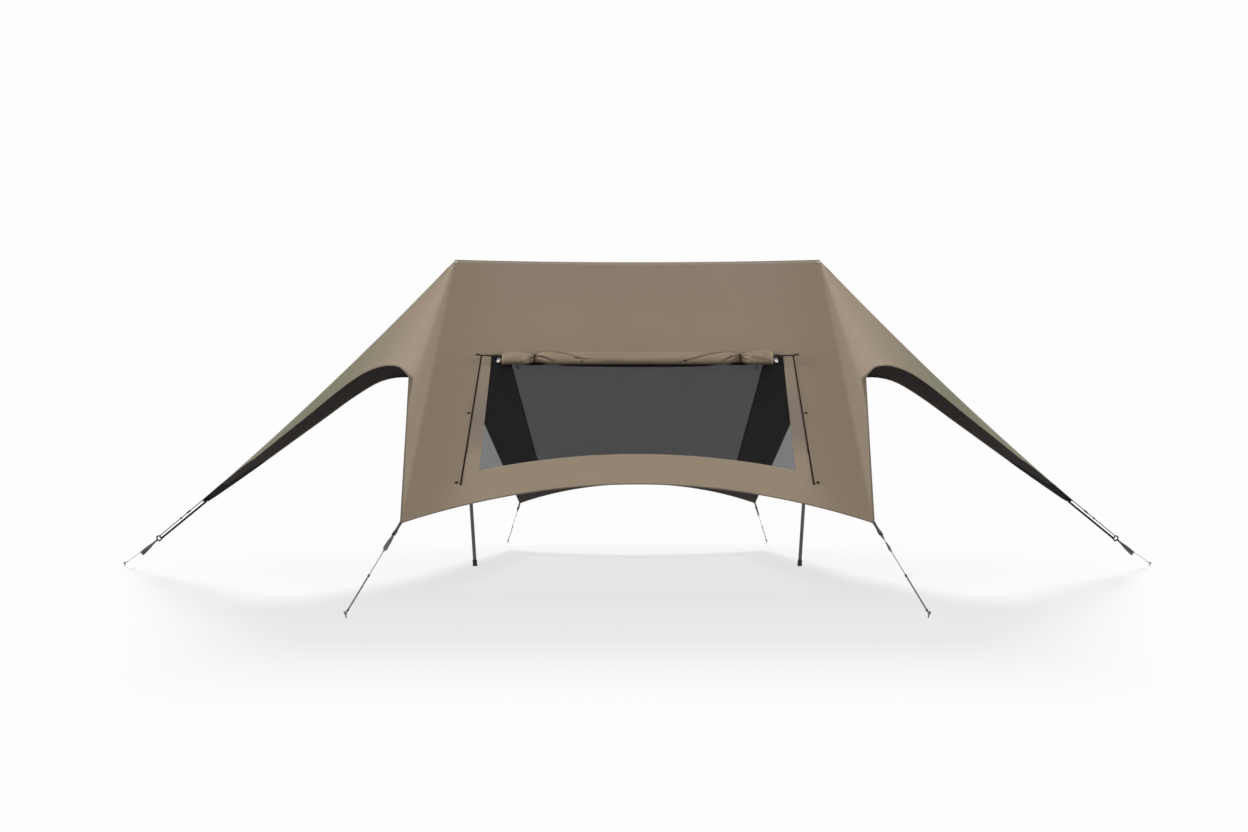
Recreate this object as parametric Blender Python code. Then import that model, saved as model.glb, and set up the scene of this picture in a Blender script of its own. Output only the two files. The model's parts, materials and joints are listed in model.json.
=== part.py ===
"""A camping sun shelter: a taut canvas roof over two poles, with two long pointed wings.

The ridge runs along X, the front looks towards -Y, and the ground is z = 0.
Every canvas piece is measured on its outer face and is CLOTH thick, straight down.
A place on the front or rear roof is given as (x, s): s is 0 at the ridge and 1 at the corners.
"""

import math

import bmesh
import bpy
from mathutils import Vector

# The frame of the shelter
RIDGE_HALF = 1.308
RIDGE_HEIGHT = 2.200
CORNER_X = 1.131
CORNER_Y = 2.300
CORNER_Z = 0.404
POLE_FOOT_X = 1.166

# How the taut cloth hangs between its edges
RIDGE_SAG = 0.018
PANEL_SAG = 0.036
OUTWARD_TILT = 0.20
WING_SAG = 0.043
HEM_RISE = 0.117

# The side edge climbs from the corner to the notch, and then sweeps over the entrance to the wing tip
NOTCH_X = 1.349
NOTCH_S = 0.530
ARCH = [
    (1.545, 0.697, 1.344),
    (1.725, 0.309, 1.398),
    (1.883, 0.230, 1.358),
    (2.084, 0.183, 1.243),
]
WING_EDGE_END = (3.105, 0.014, 0.474)
WING_TIP = (3.116, 0.0, 0.483)

# The mesh windows: the rear one is taller and wider than the front one
WINDOW_TOP = 0.4375
WINDOW_TOP_BOW = 0.0125
WINDOW_TOP_HALF = 0.887
WINDOW_FOOT = 0.792
WINDOW_FOOT_BOW = 0.0575
WINDOW_FOOT_HALF = 0.813
WINDOW_TAPER = 0.1855
REAR_TOP = 0.330
REAR_TOP_HALF = 1.016
REAR_TAPER = 0.262
REAR_FOOT = 0.835
REAR_FOOT_BOW = 0.055
REAR_FOOT_HALF = 0.880

# The two flaps, rolled up over the windows and tied; the rear one is as much longer as its window is wider
ROLL_S = 0.470
ROLL_S_DROP = 0.010
REAR_ROLL_S = 0.348
REAR_STRETCH = 1.145
TIE_X = 0.620
TIE_WIDTH = 0.020
ROLL_NECK = 0.029
ROLL_NECK_HALF = 0.014
ROLL_MIDDLE = [(0.0, 0.036), (0.16, 0.036), (0.31, 0.034), (0.46, 0.036), (0.56, 0.035)]
ROLL_END = [(0.68, 0.038), (0.74, 0.040), (0.80, 0.036), (0.822, 0.026)]

# Zips beside the front window
ZIP_X = 0.949
ZIP_TAPER = 0.138
ZIP_TOP = 0.452
ZIP_FOOT = 0.895
ZIP_HALF = 0.005

# Poles and guys
POLE_RADIUS = 0.0125
SPIGOT_RADIUS = 0.0042
FOOT_RADIUS = 0.0165
FOOT_HEIGHT = 0.045
CORNER_PEG = (1.286, 2.630)
WING_PEG_X = 3.680
PEG_HEIGHT = 0.050
PEG_RADIUS = 0.004
PEG_LEAN = 0.25
CORD_ON_PEG = 0.028
CORD_WIDTH = 0.0035
WEBBING = 0.020

# Thicknesses and clearances
CLOTH = 0.003
MESH = 0.0015
GAP = 0.0003
LAID_GAP = 0.0006
PEAK_HOLE = 0.008


def material(name, colour, roughness, metallic=0.0):
    made = bpy.data.materials.new(name)
    made.use_nodes = True
    shader = made.node_tree.nodes["Principled BSDF"]
    shader.inputs["Base Color"].default_value = (*colour, 1.0)
    shader.inputs["Roughness"].default_value = roughness
    shader.inputs["Metallic"].default_value = metallic
    return made


def clear_scene():
    for old in list(bpy.data.objects):
        bpy.data.objects.remove(old, do_unlink=True)


def solid(name, points, faces, finish, smooth=False):
    """One closed body from its corner points and its faces, with every face turned outwards."""
    mesh = bpy.data.meshes.new(name)
    work = bmesh.new()
    corners = [work.verts.new(point) for point in points]
    for face in faces:
        work.faces.new([corners[i] for i in face])
    bmesh.ops.recalc_face_normals(work, faces=work.faces)
    work.to_mesh(mesh)
    work.free()
    mesh.materials.append(finish)
    if smooth:
        mesh.shade_smooth()
        mesh.set_sharp_from_angle(angle=math.radians(35))
    made = bpy.data.objects.new(name, mesh)
    bpy.context.scene.collection.objects.link(made)
    return made


def sheet(name, grid, thickness, finish):
    """A slab of cloth: the grid is its outer face, and its inner face lies straight below."""
    rows, columns = len(grid), len(grid[0])
    drop = Vector((0, 0, thickness))
    outer = [Vector(point) for row in grid for point in row]
    points = outer + [point - drop for point in outer]
    lower = rows * columns
    faces = []
    for i in range(rows - 1):
        for j in range(columns - 1):
            a = i * columns + j
            cell = (a, a + 1, a + columns + 1, a + columns)
            faces.append(cell)
            faces.append(tuple(lower + k for k in reversed(cell)))
    top = list(range(columns))
    right = [i * columns + columns - 1 for i in range(1, rows)]
    foot = [(rows - 1) * columns + j for j in range(columns - 2, -1, -1)]
    left = [i * columns for i in range(rows - 2, 0, -1)]
    rim = top + right + foot + left
    for a, b in zip(rim, rim[1:] + rim[:1]):
        faces.append((a, lower + a, lower + b, b))
    return solid(name, points, faces, finish, smooth=True)


def tube_of_rings(name, rings, finish, smooth=True):
    """A closed body through rings of points, with a flat cap on each end."""
    count = len(rings[0])
    points = [point for ring in rings for point in ring]
    faces = [tuple(range(count)), tuple(range(len(points) - count, len(points)))]
    for i in range(len(rings) - 1):
        for j in range(count):
            k = (j + 1) % count
            a, b = i * count, (i + 1) * count
            faces.append((a + j, a + k, b + k, b + j))
    return solid(name, points, faces, finish, smooth=smooth)


def crease_x(s):
    """Half the width between the two soft creases, from the ridge ends to the corners."""
    return RIDGE_HALF + (CORNER_X - RIDGE_HALF) * s


def edge_x(s):
    """Half the width of the roof: out to the notch, then back in to the corner."""
    if s <= NOTCH_S:
        return RIDGE_HALF + (NOTCH_X - RIDGE_HALF) * s / NOTCH_S
    return NOTCH_X + (CORNER_X - NOTCH_X) * (s - NOTCH_S) / (1 - NOTCH_S)


def hem_s(x):
    return 1 - HEM_RISE * (1 - (x / CORNER_X) ** 2)


def roof(x, s, side):
    """A point of the roof's outer face. side is -1 at the front and 1 at the rear."""
    crease = crease_x(s)
    inside = max(0.0, 1 - (x / crease) ** 2)
    outside = max(0.0, abs(x) - crease)
    sag = RIDGE_SAG + (PANEL_SAG - RIDGE_SAG) * math.sin(math.pi * s)
    plane = RIDGE_HEIGHT - (RIDGE_HEIGHT - CORNER_Z) * s
    return Vector((x, side * CORNER_Y * s, plane - sag * inside - OUTWARD_TILT * outside))


def roof_normal(x, s, side):
    step = 1e-3
    across = roof(x + step, s, side) - roof(x - step, s, side)
    down = roof(x, s + step, side) - roof(x, s - step, side)
    normal = across.cross(down).normalized()
    return normal if normal.z > 0 else -normal


def window_top_s(x):
    return WINDOW_TOP + WINDOW_TOP_BOW * (x / WINDOW_TOP_HALF) ** 2


def window_foot_s(x):
    return WINDOW_FOOT + WINDOW_FOOT_BOW * (x / WINDOW_FOOT_HALF) ** 2


def window_x(s):
    return WINDOW_TOP_HALF - WINDOW_TAPER * (s - WINDOW_TOP - WINDOW_TOP_BOW)


def rear_top_s(x):
    return REAR_TOP


def rear_foot_s(x):
    return REAR_FOOT + REAR_FOOT_BOW * (x / REAR_FOOT_HALF) ** 2


def rear_window_x(s):
    return REAR_TOP_HALF - REAR_TAPER * (s - REAR_TOP)


def even(count):
    return [i / count for i in range(count + 1)]


def roof_piece(name, side, x_range, s_range, across, down, finish, thickness=CLOTH, lift=0.0):
    """A piece of the roof between two lines x(s) and two lines s(x), trimmed by half a gap."""
    trim_x = GAP / 2
    trim_s = GAP / 2 / CORNER_Y
    grid = []
    for v in down:
        row = []
        for u in across:
            x, s = 0.0, 0.5
            for _ in range(12):
                low, high = x_range[0](s) + trim_x, x_range[1](s) - trim_x
                x = low + (high - low) * u
                top, foot = s_range[0](x) + trim_s, s_range[1](x) - trim_s
                s = top + (foot - top) * v
            row.append(roof(x, s, side) + Vector((0, 0, lift)))
        grid.append(row)
    return sheet(name, grid, thickness, finish)


def notched_edge_x(s):
    """The roof's side line, cut back round the eyelet that the pole's spigot passes."""
    return edge_x(s) - PEAK_HOLE * max(0.0, 1 - s * CORNER_Y / PEAK_HOLE)


def roof_top(name, side, foot_s, finish):
    rows = [0.0, 0.008] + [0.008 + 0.992 * v for v in even(7)[1:]]
    lines = (lambda s: -notched_edge_x(s), notched_edge_x)
    return roof_piece(name, side, lines, (lambda x: 0.0, foot_s), even(20), rows, finish)


def roof_side(name, side, hand, inner_x, top_s, finish):
    """The strip from a window out to the side edge, with a row of points at the notch."""
    top = top_s(NOTCH_X)
    notch = (NOTCH_S - top) / (hem_s(NOTCH_X) - top)
    rows = [0.0, notch / 2] + [notch + (1 - notch) * v for v in even(7)]
    if hand > 0:
        lines = (inner_x, edge_x)
    else:
        lines = (lambda s: -edge_x(s), lambda s: -inner_x(s))
    return roof_piece(name, side, lines, (top_s, hem_s), even(5), rows, finish)


def side_edge(hand, side):
    """The curve from the notch over the entrance to the wing tip, and the part of it at each point."""
    notch = roof(NOTCH_X, NOTCH_S, 1)
    knots = [Vector(p) for p in [notch, *ARCH, WING_EDGE_END]]
    spans = [(b - a).length for a, b in zip(knots, knots[1:])]
    slopes = [(b - a) / d for a, b, d in zip(knots, knots[1:], spans)]
    turns = [slopes[0]]
    for i in range(1, len(knots) - 1):
        before, after = spans[i - 1], spans[i]
        turns.append((slopes[i - 1] * after + slopes[i] * before) / (before + after))
    turns[0] = slopes[0] * 1.5 - turns[1] * 0.5
    turns.append(slopes[-1])
    curve = []
    travelled = 0.0
    for i, span in enumerate(spans):
        steps = max(3, round(span / 0.12))
        for j in range(steps):
            t = j / steps
            blend = (
                knots[i] * (2 * t**3 - 3 * t**2 + 1)
                + turns[i] * span * (t**3 - 2 * t**2 + t)
                + knots[i + 1] * (3 * t**2 - 2 * t**3)
                + turns[i + 1] * span * (t**3 - t**2)
            )
            curve.append((blend, travelled + t * span))
        travelled += span
    curve.append((knots[-1], travelled))
    curve.append((Vector(WING_TIP), travelled + (Vector(WING_TIP) - knots[-1]).length))
    total = curve[-1][1]
    mirror = Vector((hand, side, 1))
    return [(point * mirror, part / total) for point, part in curve]


def fan(name, hand, side, first, last, finish):
    """Cloth between the ridge end and a stretch of the side edge: straight rays, with a little sag."""
    peak = Vector((hand * RIDGE_HALF, 0, RIDGE_HEIGHT))
    edge = side_edge(hand, side)[first : last + 1]
    at_first = (edge[1][0] - edge[0][0]).normalized() * (GAP / 2)
    at_last = (edge[-2][0] - edge[-1][0]).normalized() * (GAP / 2)
    if abs(edge[-1][0].y) < GAP:
        at_last = Vector((0, side * GAP / 2, 0))
    grid = []
    for v in even(9):
        row = []
        for k, (end, part) in enumerate(edge):
            ray = end - peak
            distance = PEAK_HOLE + (ray.length - PEAK_HOLE) * v
            along = distance / ray.length
            point = peak + ray * along
            point.z -= WING_SAG * part * 4 * along * (1 - along)
            if k == 0:
                point = point + at_first
            if k == len(edge) - 1:
                point = point + at_last
            row.append(point)
        grid.append(row)
    return sheet(name, grid, CLOTH, finish)


def ring_at(centre, direction, width, thickness, turn):
    """Eight points round a flat or round section, square to the direction."""
    side = direction.cross(Vector((0, 0, 1))).normalized()
    up = side.cross(direction).normalized()
    cut = 0.293 * min(width, thickness)
    half_w, half_t = width / 2, thickness / 2
    outline = [
        (half_w, half_t - cut), (half_w - cut, half_t), (cut - half_w, half_t), (-half_w, half_t - cut),
        (-half_w, cut - half_t), (cut - half_w, -half_t), (half_w - cut, -half_t), (half_w, cut - half_t),
    ]
    c, s = math.cos(math.radians(turn)), math.sin(math.radians(turn))
    return [centre + side * (a * c - b * s) + up * (a * s + b * c) for a, b in outline]


def run(name, start, end, stations, finish):
    """Webbing or cord along a straight line. A station is (distance, width, thickness, turn)."""
    direction = (end - start).normalized()
    rings = []
    for distance, width, thickness, turn in stations:
        rings.append(ring_at(start + direction * distance, direction, width, thickness, turn))
    return tube_of_rings(name, rings, finish)


def level_ring(x, y, z, radius, count):
    turns = [2 * math.pi * i / count for i in range(count)]
    return [Vector((x + radius * math.cos(t), y + radius * math.sin(t), z)) for t in turns]


def pole_x(z):
    return POLE_FOOT_X + (RIDGE_HALF - POLE_FOOT_X) * z / RIDGE_HEIGHT


def pole(name, hand, finish):
    """A straight tube that leans outwards, with a spigot through the eyelet at the ridge end."""
    profile = [
        (0.0063, POLE_RADIUS),
        (2.1735, POLE_RADIUS),
        (2.1885, SPIGOT_RADIUS),
        (2.1990, SPIGOT_RADIUS),
        (2.2000, SPIGOT_RADIUS * 0.6),
    ]
    rings = [level_ring(hand * pole_x(z), 0, z, r, 24) for z, r in profile]
    return tube_of_rings(name, rings, finish)


def pole_foot(name, hand, finish):
    """A rubber cup with a flat sole, open at the top for the pole."""
    inner = POLE_RADIUS + GAP
    profile = [
        (0.0, FOOT_RADIUS),
        (FOOT_HEIGHT - 0.003, FOOT_RADIUS),
        (FOOT_HEIGHT, FOOT_RADIUS - 0.0015),
        (FOOT_HEIGHT, inner),
        (0.006, inner),
    ]
    rings = [level_ring(hand * pole_x(z), 0, z, r, 24) for z, r in profile]
    return tube_of_rings(name, rings, finish)


def roll_stretch(side):
    return 1.0 if side < 0 else REAR_STRETCH


def roll_frame(x, radius, side):
    """Centre of the roll at x, with the directions down the slope and out of the roof."""
    if side < 0:
        s = ROLL_S + ROLL_S_DROP * (x / ROLL_END[-1][0]) ** 2
    else:
        s = REAR_ROLL_S
    normal = roof_normal(x, s, side)
    slope = Vector((-side, 0, 0)).cross(normal).normalized()
    return roof(x, s, side) + normal * (radius + LAID_GAP), slope, normal


def flap_roll(name, side, finish):
    """The rolled flap: a bolster that lies on the window, drawn in at its two ties."""
    stretch = roll_stretch(side)
    neck = [(TIE_X * stretch + off, ROLL_NECK) for off in (-ROLL_NECK_HALF, ROLL_NECK_HALF)]
    middle = [(x * stretch, radius) for x, radius in ROLL_MIDDLE]
    half = middle + neck + [(x * stretch, radius) for x, radius in ROLL_END]
    other = [(-x, radius) for x, radius in reversed(half[1:])]
    rings = []
    turns = [2 * math.pi * k / 16 for k in range(16)]
    for x, radius in other + half:
        centre, slope, normal = roll_frame(x, radius, side)
        rings.append([centre + (slope * math.cos(t) + normal * math.sin(t)) * radius for t in turns])
    return tube_of_rings(name, rings, finish)


def roll_tie(name, hand, side, finish):
    """A webbing loop over the outer side of the roll, from above it to below it."""
    rings = []
    inner = ROLL_NECK + GAP * 3
    turns = [math.radians(-50 + 280 * k / 16) for k in range(17)]
    centre, slope, normal = roll_frame(hand * TIE_X * roll_stretch(side), ROLL_NECK, side)
    half = Vector((TIE_WIDTH / 2, 0, 0))
    for turn in turns:
        out = slope * math.cos(turn) + normal * math.sin(turn)
        near, far = centre + out * inner, centre + out * (inner + 0.002)
        rings.append([near - half, near + half, far + half, far - half])
    return tube_of_rings(name, rings, finish, smooth=False)


def front_zip(name, hand, finish):
    def low(s):
        return hand * (ZIP_X - ZIP_TAPER * (s - ZIP_TOP)) - ZIP_HALF

    def high(s):
        return low(s) + 2 * ZIP_HALF

    ends = (lambda x: ZIP_TOP, lambda x: ZIP_FOOT)
    thickness = 0.0025
    lift = LAID_GAP + thickness
    return roof_piece(name, -1, (low, high), ends, even(1), even(14), finish, thickness, lift)


def peg(name, x, y, out, finish):
    """The head of a peg that leans away from the shelter, cut level with the ground."""
    profile = [
        (0.0, PEG_RADIUS),
        (PEG_HEIGHT - 0.010, PEG_RADIUS),
        (PEG_HEIGHT - 0.008, PEG_RADIUS * 2),
        (PEG_HEIGHT - 0.002, PEG_RADIUS * 2),
        (PEG_HEIGHT, PEG_RADIUS * 1.5),
    ]
    rings = [level_ring(x + out.x * PEG_LEAN * z, y + out.y * PEG_LEAN * z, z, r, 12) for z, r in profile]
    return tube_of_rings(name, rings, finish)


def peg_line_end(x, y, out):
    """Where a cord's line meets the peg's middle."""
    return Vector((x + out.x * PEG_LEAN * CORD_ON_PEG, y + out.y * PEG_LEAN * CORD_ON_PEG, CORD_ON_PEG))


def corner_guy(place, hand, side, black, webbing, cord, steel):
    """From a corner of the hem: strap with its buckle, webbing tail, cord and peg."""
    corner = roof(hand * CORNER_X, 1.0, side) + Vector((0, 0, -CLOTH / 2))
    peg_x, peg_y = hand * CORNER_PEG[0], side * CORNER_PEG[1]
    out = Vector((peg_x - corner.x, peg_y - corner.y, 0)).normalized()
    end = peg_line_end(peg_x, peg_y, out)
    length = (end - corner).length
    strap = [
        (0.0012, WEBBING, 0.003, 0),
        (0.046, WEBBING, 0.003, 0),
        (0.047, 0.028, 0.008, 0),
        (0.079, 0.028, 0.008, 0),
    ]
    guy = [
        (0.0793, WEBBING * 0.8, 0.003, 0),
        (0.100, WEBBING * 0.9, 0.003, 30),
        (0.120, WEBBING, 0.003, 60),
        (0.158, WEBBING * 1.2, 0.004, 75),
        (0.162, CORD_WIDTH * 2, CORD_WIDTH * 2, 75),
        (0.170, CORD_WIDTH, CORD_WIDTH, 75),
        (length - 0.0065, CORD_WIDTH, CORD_WIDTH, 75),
    ]
    run(f"{place}_corner_strap", corner, end, strap, black)
    run(f"{place}_corner_guyline", corner, end, guy, cord)
    peg(f"{place}_corner_peg", peg_x, peg_y, out, steel)


def wing_guy(place, hand, black, webbing, cord, steel):
    """From a wing tip: tab, strap with its ring, tension cord, webbing tail with its cord, and peg."""
    tip = Vector((hand * (WING_TIP[0] + 0.0005), 0, WING_TIP[2]))
    tab = 0.018
    corners = [(0.0, 0.003), (tab, -0.006), (tab, -0.030), (0.0, -0.030)]
    rings = [[tip + Vector((hand * a, y, b)) for a, b in corners] for y in (-0.002, 0.002)]
    tube_of_rings(f"{place}_wing_tip_tab", rings, black, smooth=False)

    out = Vector((hand, 0, 0))
    end = peg_line_end(hand * WING_PEG_X, 0, out)
    ring = Vector((hand * 3.436, 0, 0.205))
    low = tip + Vector((hand * (tab + 0.0005), 0, -0.024))
    strap_length = (ring - low).length
    strap = [
        (0.0015, 0.012, 0.004, 0),
        (strap_length - 0.012, 0.012, 0.004, 0),
        (strap_length - 0.010, 0.026, 0.007, 0),
        (strap_length + 0.012, 0.026, 0.007, 0),
    ]
    run(f"{place}_wing_strap", low, ring, strap, black)

    high = tip + Vector((hand * (tab + 0.0005), 0, -0.009))
    cord_end = ring + Vector((hand * -0.004, 0, 0.0125))
    cord_length = (cord_end - high).length
    thin = 0.003
    line = [
        (0.0015, thin, thin, 0),
        (0.105, thin, thin, 0),
        (0.106, 0.012, 0.009, 0),
        (0.136, 0.012, 0.009, 0),
        (0.137, thin, thin, 0),
        (0.205, thin, thin, 0),
        (0.209, 0.008, 0.008, 0),
        (0.214, 0.008, 0.008, 0),
        (0.218, thin, thin, 0),
        (cord_length, thin, thin, 0),
    ]
    run(f"{place}_wing_cord", high, cord_end, line, cord)

    reach = (end - ring).length
    tail = [
        (0.0127, 0.014, 0.003, 0),
        (0.050, 0.016, 0.003, 45),
        (0.100, 0.022, 0.004, 80),
        (0.160, 0.030, 0.005, 90),
        (0.164, CORD_WIDTH * 2, CORD_WIDTH * 2, 90),
        (0.172, CORD_WIDTH, CORD_WIDTH, 90),
        (reach - 0.0053, CORD_WIDTH, CORD_WIDTH, 90),
    ]
    run(f"{place}_wing_guyline", ring, end, tail, webbing)
    peg(f"{place}_wing_peg", hand * WING_PEG_X, 0, out, steel)


def build():
    clear_scene()
    canvas = material("canvas", (0.30, 0.24, 0.18), 0.85)
    mesh = material("window_mesh", (0.03, 0.03, 0.03), 0.9)
    black = material("black_webbing", (0.02, 0.02, 0.02), 0.7)
    grey = material("grey_webbing", (0.22, 0.22, 0.21), 0.8)
    cord = material("guy_cord", (0.45, 0.44, 0.42), 0.7)
    pole_grey = material("pole_grey", (0.16, 0.16, 0.16), 0.4, 0.8)
    rubber = material("foot_rubber", (0.015, 0.015, 0.015), 0.8)
    steel = material("peg_steel", (0.25, 0.25, 0.25), 0.45, 0.9)

    across = even(14)
    roof_top("front_roof_panel", -1, window_top_s, canvas)
    roof_top("rear_roof_panel", 1, rear_top_s, canvas)
    for hand, word in ((-1, "left"), (1, "right")):
        roof_side(f"front_{word}_panel", -1, hand, window_x, window_top_s, canvas)
        roof_side(f"rear_{word}_panel", 1, hand, rear_window_x, rear_top_s, canvas)
    window = (lambda s: -window_x(s), window_x)
    rear_window = (lambda s: -rear_window_x(s), rear_window_x)
    roof_piece("front_sill_panel", -1, window, (window_foot_s, hem_s), across, even(3), canvas)
    roof_piece("rear_hem_panel", 1, rear_window, (rear_foot_s, hem_s), across, even(2), canvas)
    roof_piece("front_window_mesh", -1, window, (window_top_s, window_foot_s), across, even(8), mesh, MESH)
    roof_piece("rear_window_mesh", 1, rear_window, (rear_top_s, rear_foot_s), across, even(9), mesh, MESH)

    flap_roll("front_flap_roll", -1, canvas)
    flap_roll("rear_flap_roll", 1, canvas)
    for hand, word in ((-1, "left"), (1, "right")):
        roll_tie(f"front_roll_tie_{word}", hand, -1, black)
        roll_tie(f"rear_roll_tie_{word}", hand, 1, black)
        front_zip(f"front_zip_{word}", hand, black)
        pole(f"pole_{word}", hand, pole_grey)
        pole_foot(f"pole_foot_{word}", hand, rubber)
        wing_guy(word, hand, black, grey, cord, steel)

    knots = len(side_edge(1, 1)) - 1
    crown = side_edge_crown()
    for side, end in ((-1, "front"), (1, "rear")):
        for hand, word in ((-1, "left"), (1, "right")):
            fan(f"{end}_{word}_gusset", hand, side, 0, crown, canvas)
            fan(f"{end}_{word}_wing", hand, side, crown, knots, canvas)
            corner_guy(f"{end}_{word}", hand, side, black, grey, cord, steel)


def side_edge_crown():
    """Number of the side edge's point at the top of the arch, where gusset and wing meet."""
    crown = Vector(ARCH[1])
    points = [point for point, _ in side_edge(1, 1)]
    return min(range(len(points)), key=lambda i: (points[i] - crown).length)


build()
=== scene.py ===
# %% [markdown]
# # A camping sun shelter, piece by piece
#
# The real shelter is one big sheet of taupe canvas over two poles. It has a mesh window front and rear, each with
# its storm flap rolled up, and two long pointed wings. Six guys hold it to the ground.
# This lesson starts from the fixed frame: plain solids of every piece at their true size. Each step below makes one
# piece as a surface over two parameters, worked out with numpy as whole arrays, and gives it its finish.

# %% The frame and the tools
import json

import bmesh
import bpy
import numpy as np
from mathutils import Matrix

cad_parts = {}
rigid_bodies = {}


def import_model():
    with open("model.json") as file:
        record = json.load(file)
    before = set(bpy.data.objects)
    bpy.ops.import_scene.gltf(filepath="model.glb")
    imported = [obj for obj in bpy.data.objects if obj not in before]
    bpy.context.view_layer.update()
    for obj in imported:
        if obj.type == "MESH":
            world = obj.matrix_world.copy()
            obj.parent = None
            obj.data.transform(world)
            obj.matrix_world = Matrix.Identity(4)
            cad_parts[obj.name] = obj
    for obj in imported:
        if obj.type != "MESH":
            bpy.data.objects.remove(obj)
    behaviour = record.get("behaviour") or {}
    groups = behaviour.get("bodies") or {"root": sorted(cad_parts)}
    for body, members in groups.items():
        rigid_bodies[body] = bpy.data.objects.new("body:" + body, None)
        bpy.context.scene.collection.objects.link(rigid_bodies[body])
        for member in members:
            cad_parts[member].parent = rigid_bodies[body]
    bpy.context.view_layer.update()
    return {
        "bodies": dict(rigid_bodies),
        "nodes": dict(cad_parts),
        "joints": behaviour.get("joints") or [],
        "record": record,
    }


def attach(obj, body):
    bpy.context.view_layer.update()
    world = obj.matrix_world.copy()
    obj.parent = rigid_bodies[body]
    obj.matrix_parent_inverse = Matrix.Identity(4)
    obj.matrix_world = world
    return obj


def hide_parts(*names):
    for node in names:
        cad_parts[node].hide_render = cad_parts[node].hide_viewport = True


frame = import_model()

# %% [markdown]
# ## The camera
#
# The photograph looks straight along +Y from low down, with upright lines kept upright. A tilted camera would make
# them lean, so this one is level, and a small lens shift brings the shelter to its place in the picture.

# %% Camera
EYE = (0.0, -6.828, 0.593)
LENS = 27.404
SHIFT = (-0.0107, 0.0541)

camera_data = bpy.data.cameras.new("camera")
camera_data.lens = LENS
camera_data.sensor_width = 36.0
camera_data.shift_x, camera_data.shift_y = SHIFT
camera = bpy.data.objects.new("camera", camera_data)
camera.location = EYE
camera.rotation_euler = (np.pi / 2, 0.0, 0.0)
bpy.context.scene.collection.objects.link(camera)
bpy.context.scene.camera = camera
print("camera:", LENS, "mm lens, eye", EYE)

# %% [markdown]
# ## The studio
#
# A product shelter is photographed on a white sweep under big soft lights. The sky of the scene is plain white,
# and gives less light than it shows, so that the softboxes can shape the cloth. Those at the sides, together with the
# painted light and shade of the canvas, are why it looks brighter outside the soft creases. Only the light behind
# falls on the floor too, which gives the one pale shadow that lies towards the viewer. A floor that glows a little
# stands for the lit sweep.

# %% Floor and lights
# A far panel is its name, power, lean and spread, and a softbox its place, turn and size. Angles are in degrees.
FLOOR_HALF = 60.0
SKY_SEEN = 0.985
SKY_LIGHT = 0.30
OVERHEAD = ("overhead", 0.83, -12.0, 80.0)
BEHIND = ("behind", 2.40, -59.5, 8.0)
FRONT_BOX = ((0.0, -6.3, 1.5), (86.0, 0.0, 0.0), (3.0, 1.4))
SIDE_BOX = ((9.5, -2.6, 3.2), (78.0, 0.0, 76.0), (3.0, 3.6))
FRONT_POWER = 45.0
SIDE_POWER = 640.0
FLOOR_GREY = 0.42
FLOOR_LIGHT = SKY_LIGHT + BEHIND[1] * np.cos(np.radians(BEHIND[2])) / np.pi
FLOOR_GLOW = SKY_SEEN - FLOOR_GREY * FLOOR_LIGHT

bpy.context.scene.view_settings.view_transform = "Standard"


def new_material(name):
    """A material with its Principled shader, and its node tree to add to."""
    made = bpy.data.materials.new(name)
    made.use_nodes = True
    return made, made.node_tree, made.node_tree.nodes["Principled BSDF"]


def area_light(name, place, turn, size, power):
    """A rectangular softbox, in metres, degrees and watts."""
    data = bpy.data.lights.new(name, "AREA")
    data.shape = "RECTANGLE"
    data.size, data.size_y = size
    data.energy = power
    lamp = bpy.data.objects.new(name, data)
    lamp.location = place
    lamp.rotation_euler = np.radians(turn)
    lamp.visible_camera = False
    bpy.context.scene.collection.objects.link(lamp)
    return lamp


def make_sky():
    """A white sky that shows at one strength and lights at another."""
    sky = bpy.data.worlds.new("sky")
    sky.use_nodes = True
    tree = sky.node_tree
    tree.nodes["Background"].inputs["Color"].default_value = (1.0, 1.0, 1.0, 1.0)
    path = tree.nodes.new("ShaderNodeLightPath")
    strength = tree.nodes.new("ShaderNodeMapRange")
    strength.inputs["To Min"].default_value = SKY_LIGHT
    strength.inputs["To Max"].default_value = SKY_SEEN
    tree.links.new(path.outputs["Is Camera Ray"], strength.inputs["Value"])
    tree.links.new(strength.outputs["Result"], tree.nodes["Background"].inputs["Strength"])
    return sky


def sky_panel(name, power, lean, spread):
    """A far, wide panel of light: its lean from overhead and its spread, in degrees."""
    data = bpy.data.lights.new(name, "SUN")
    data.energy = power
    data.angle = np.radians(spread)
    panel = bpy.data.objects.new(name, data)
    panel.rotation_euler = (np.radians(lean), 0.0, 0.0)
    bpy.context.scene.collection.objects.link(panel)
    return panel


bpy.context.scene.world = make_sky()
sky_panel(*BEHIND)
softboxes = [sky_panel(*OVERHEAD), area_light("front_softbox", *FRONT_BOX, FRONT_POWER)]
for hand in (-1, 1):
    place, turn, size = SIDE_BOX
    place, turn = np.multiply(place, (hand, 1, 1)), np.multiply(turn, (1, 1, hand))
    softboxes.append(area_light(f"side_softbox_{hand}", place, turn, size, SIDE_POWER))

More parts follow.
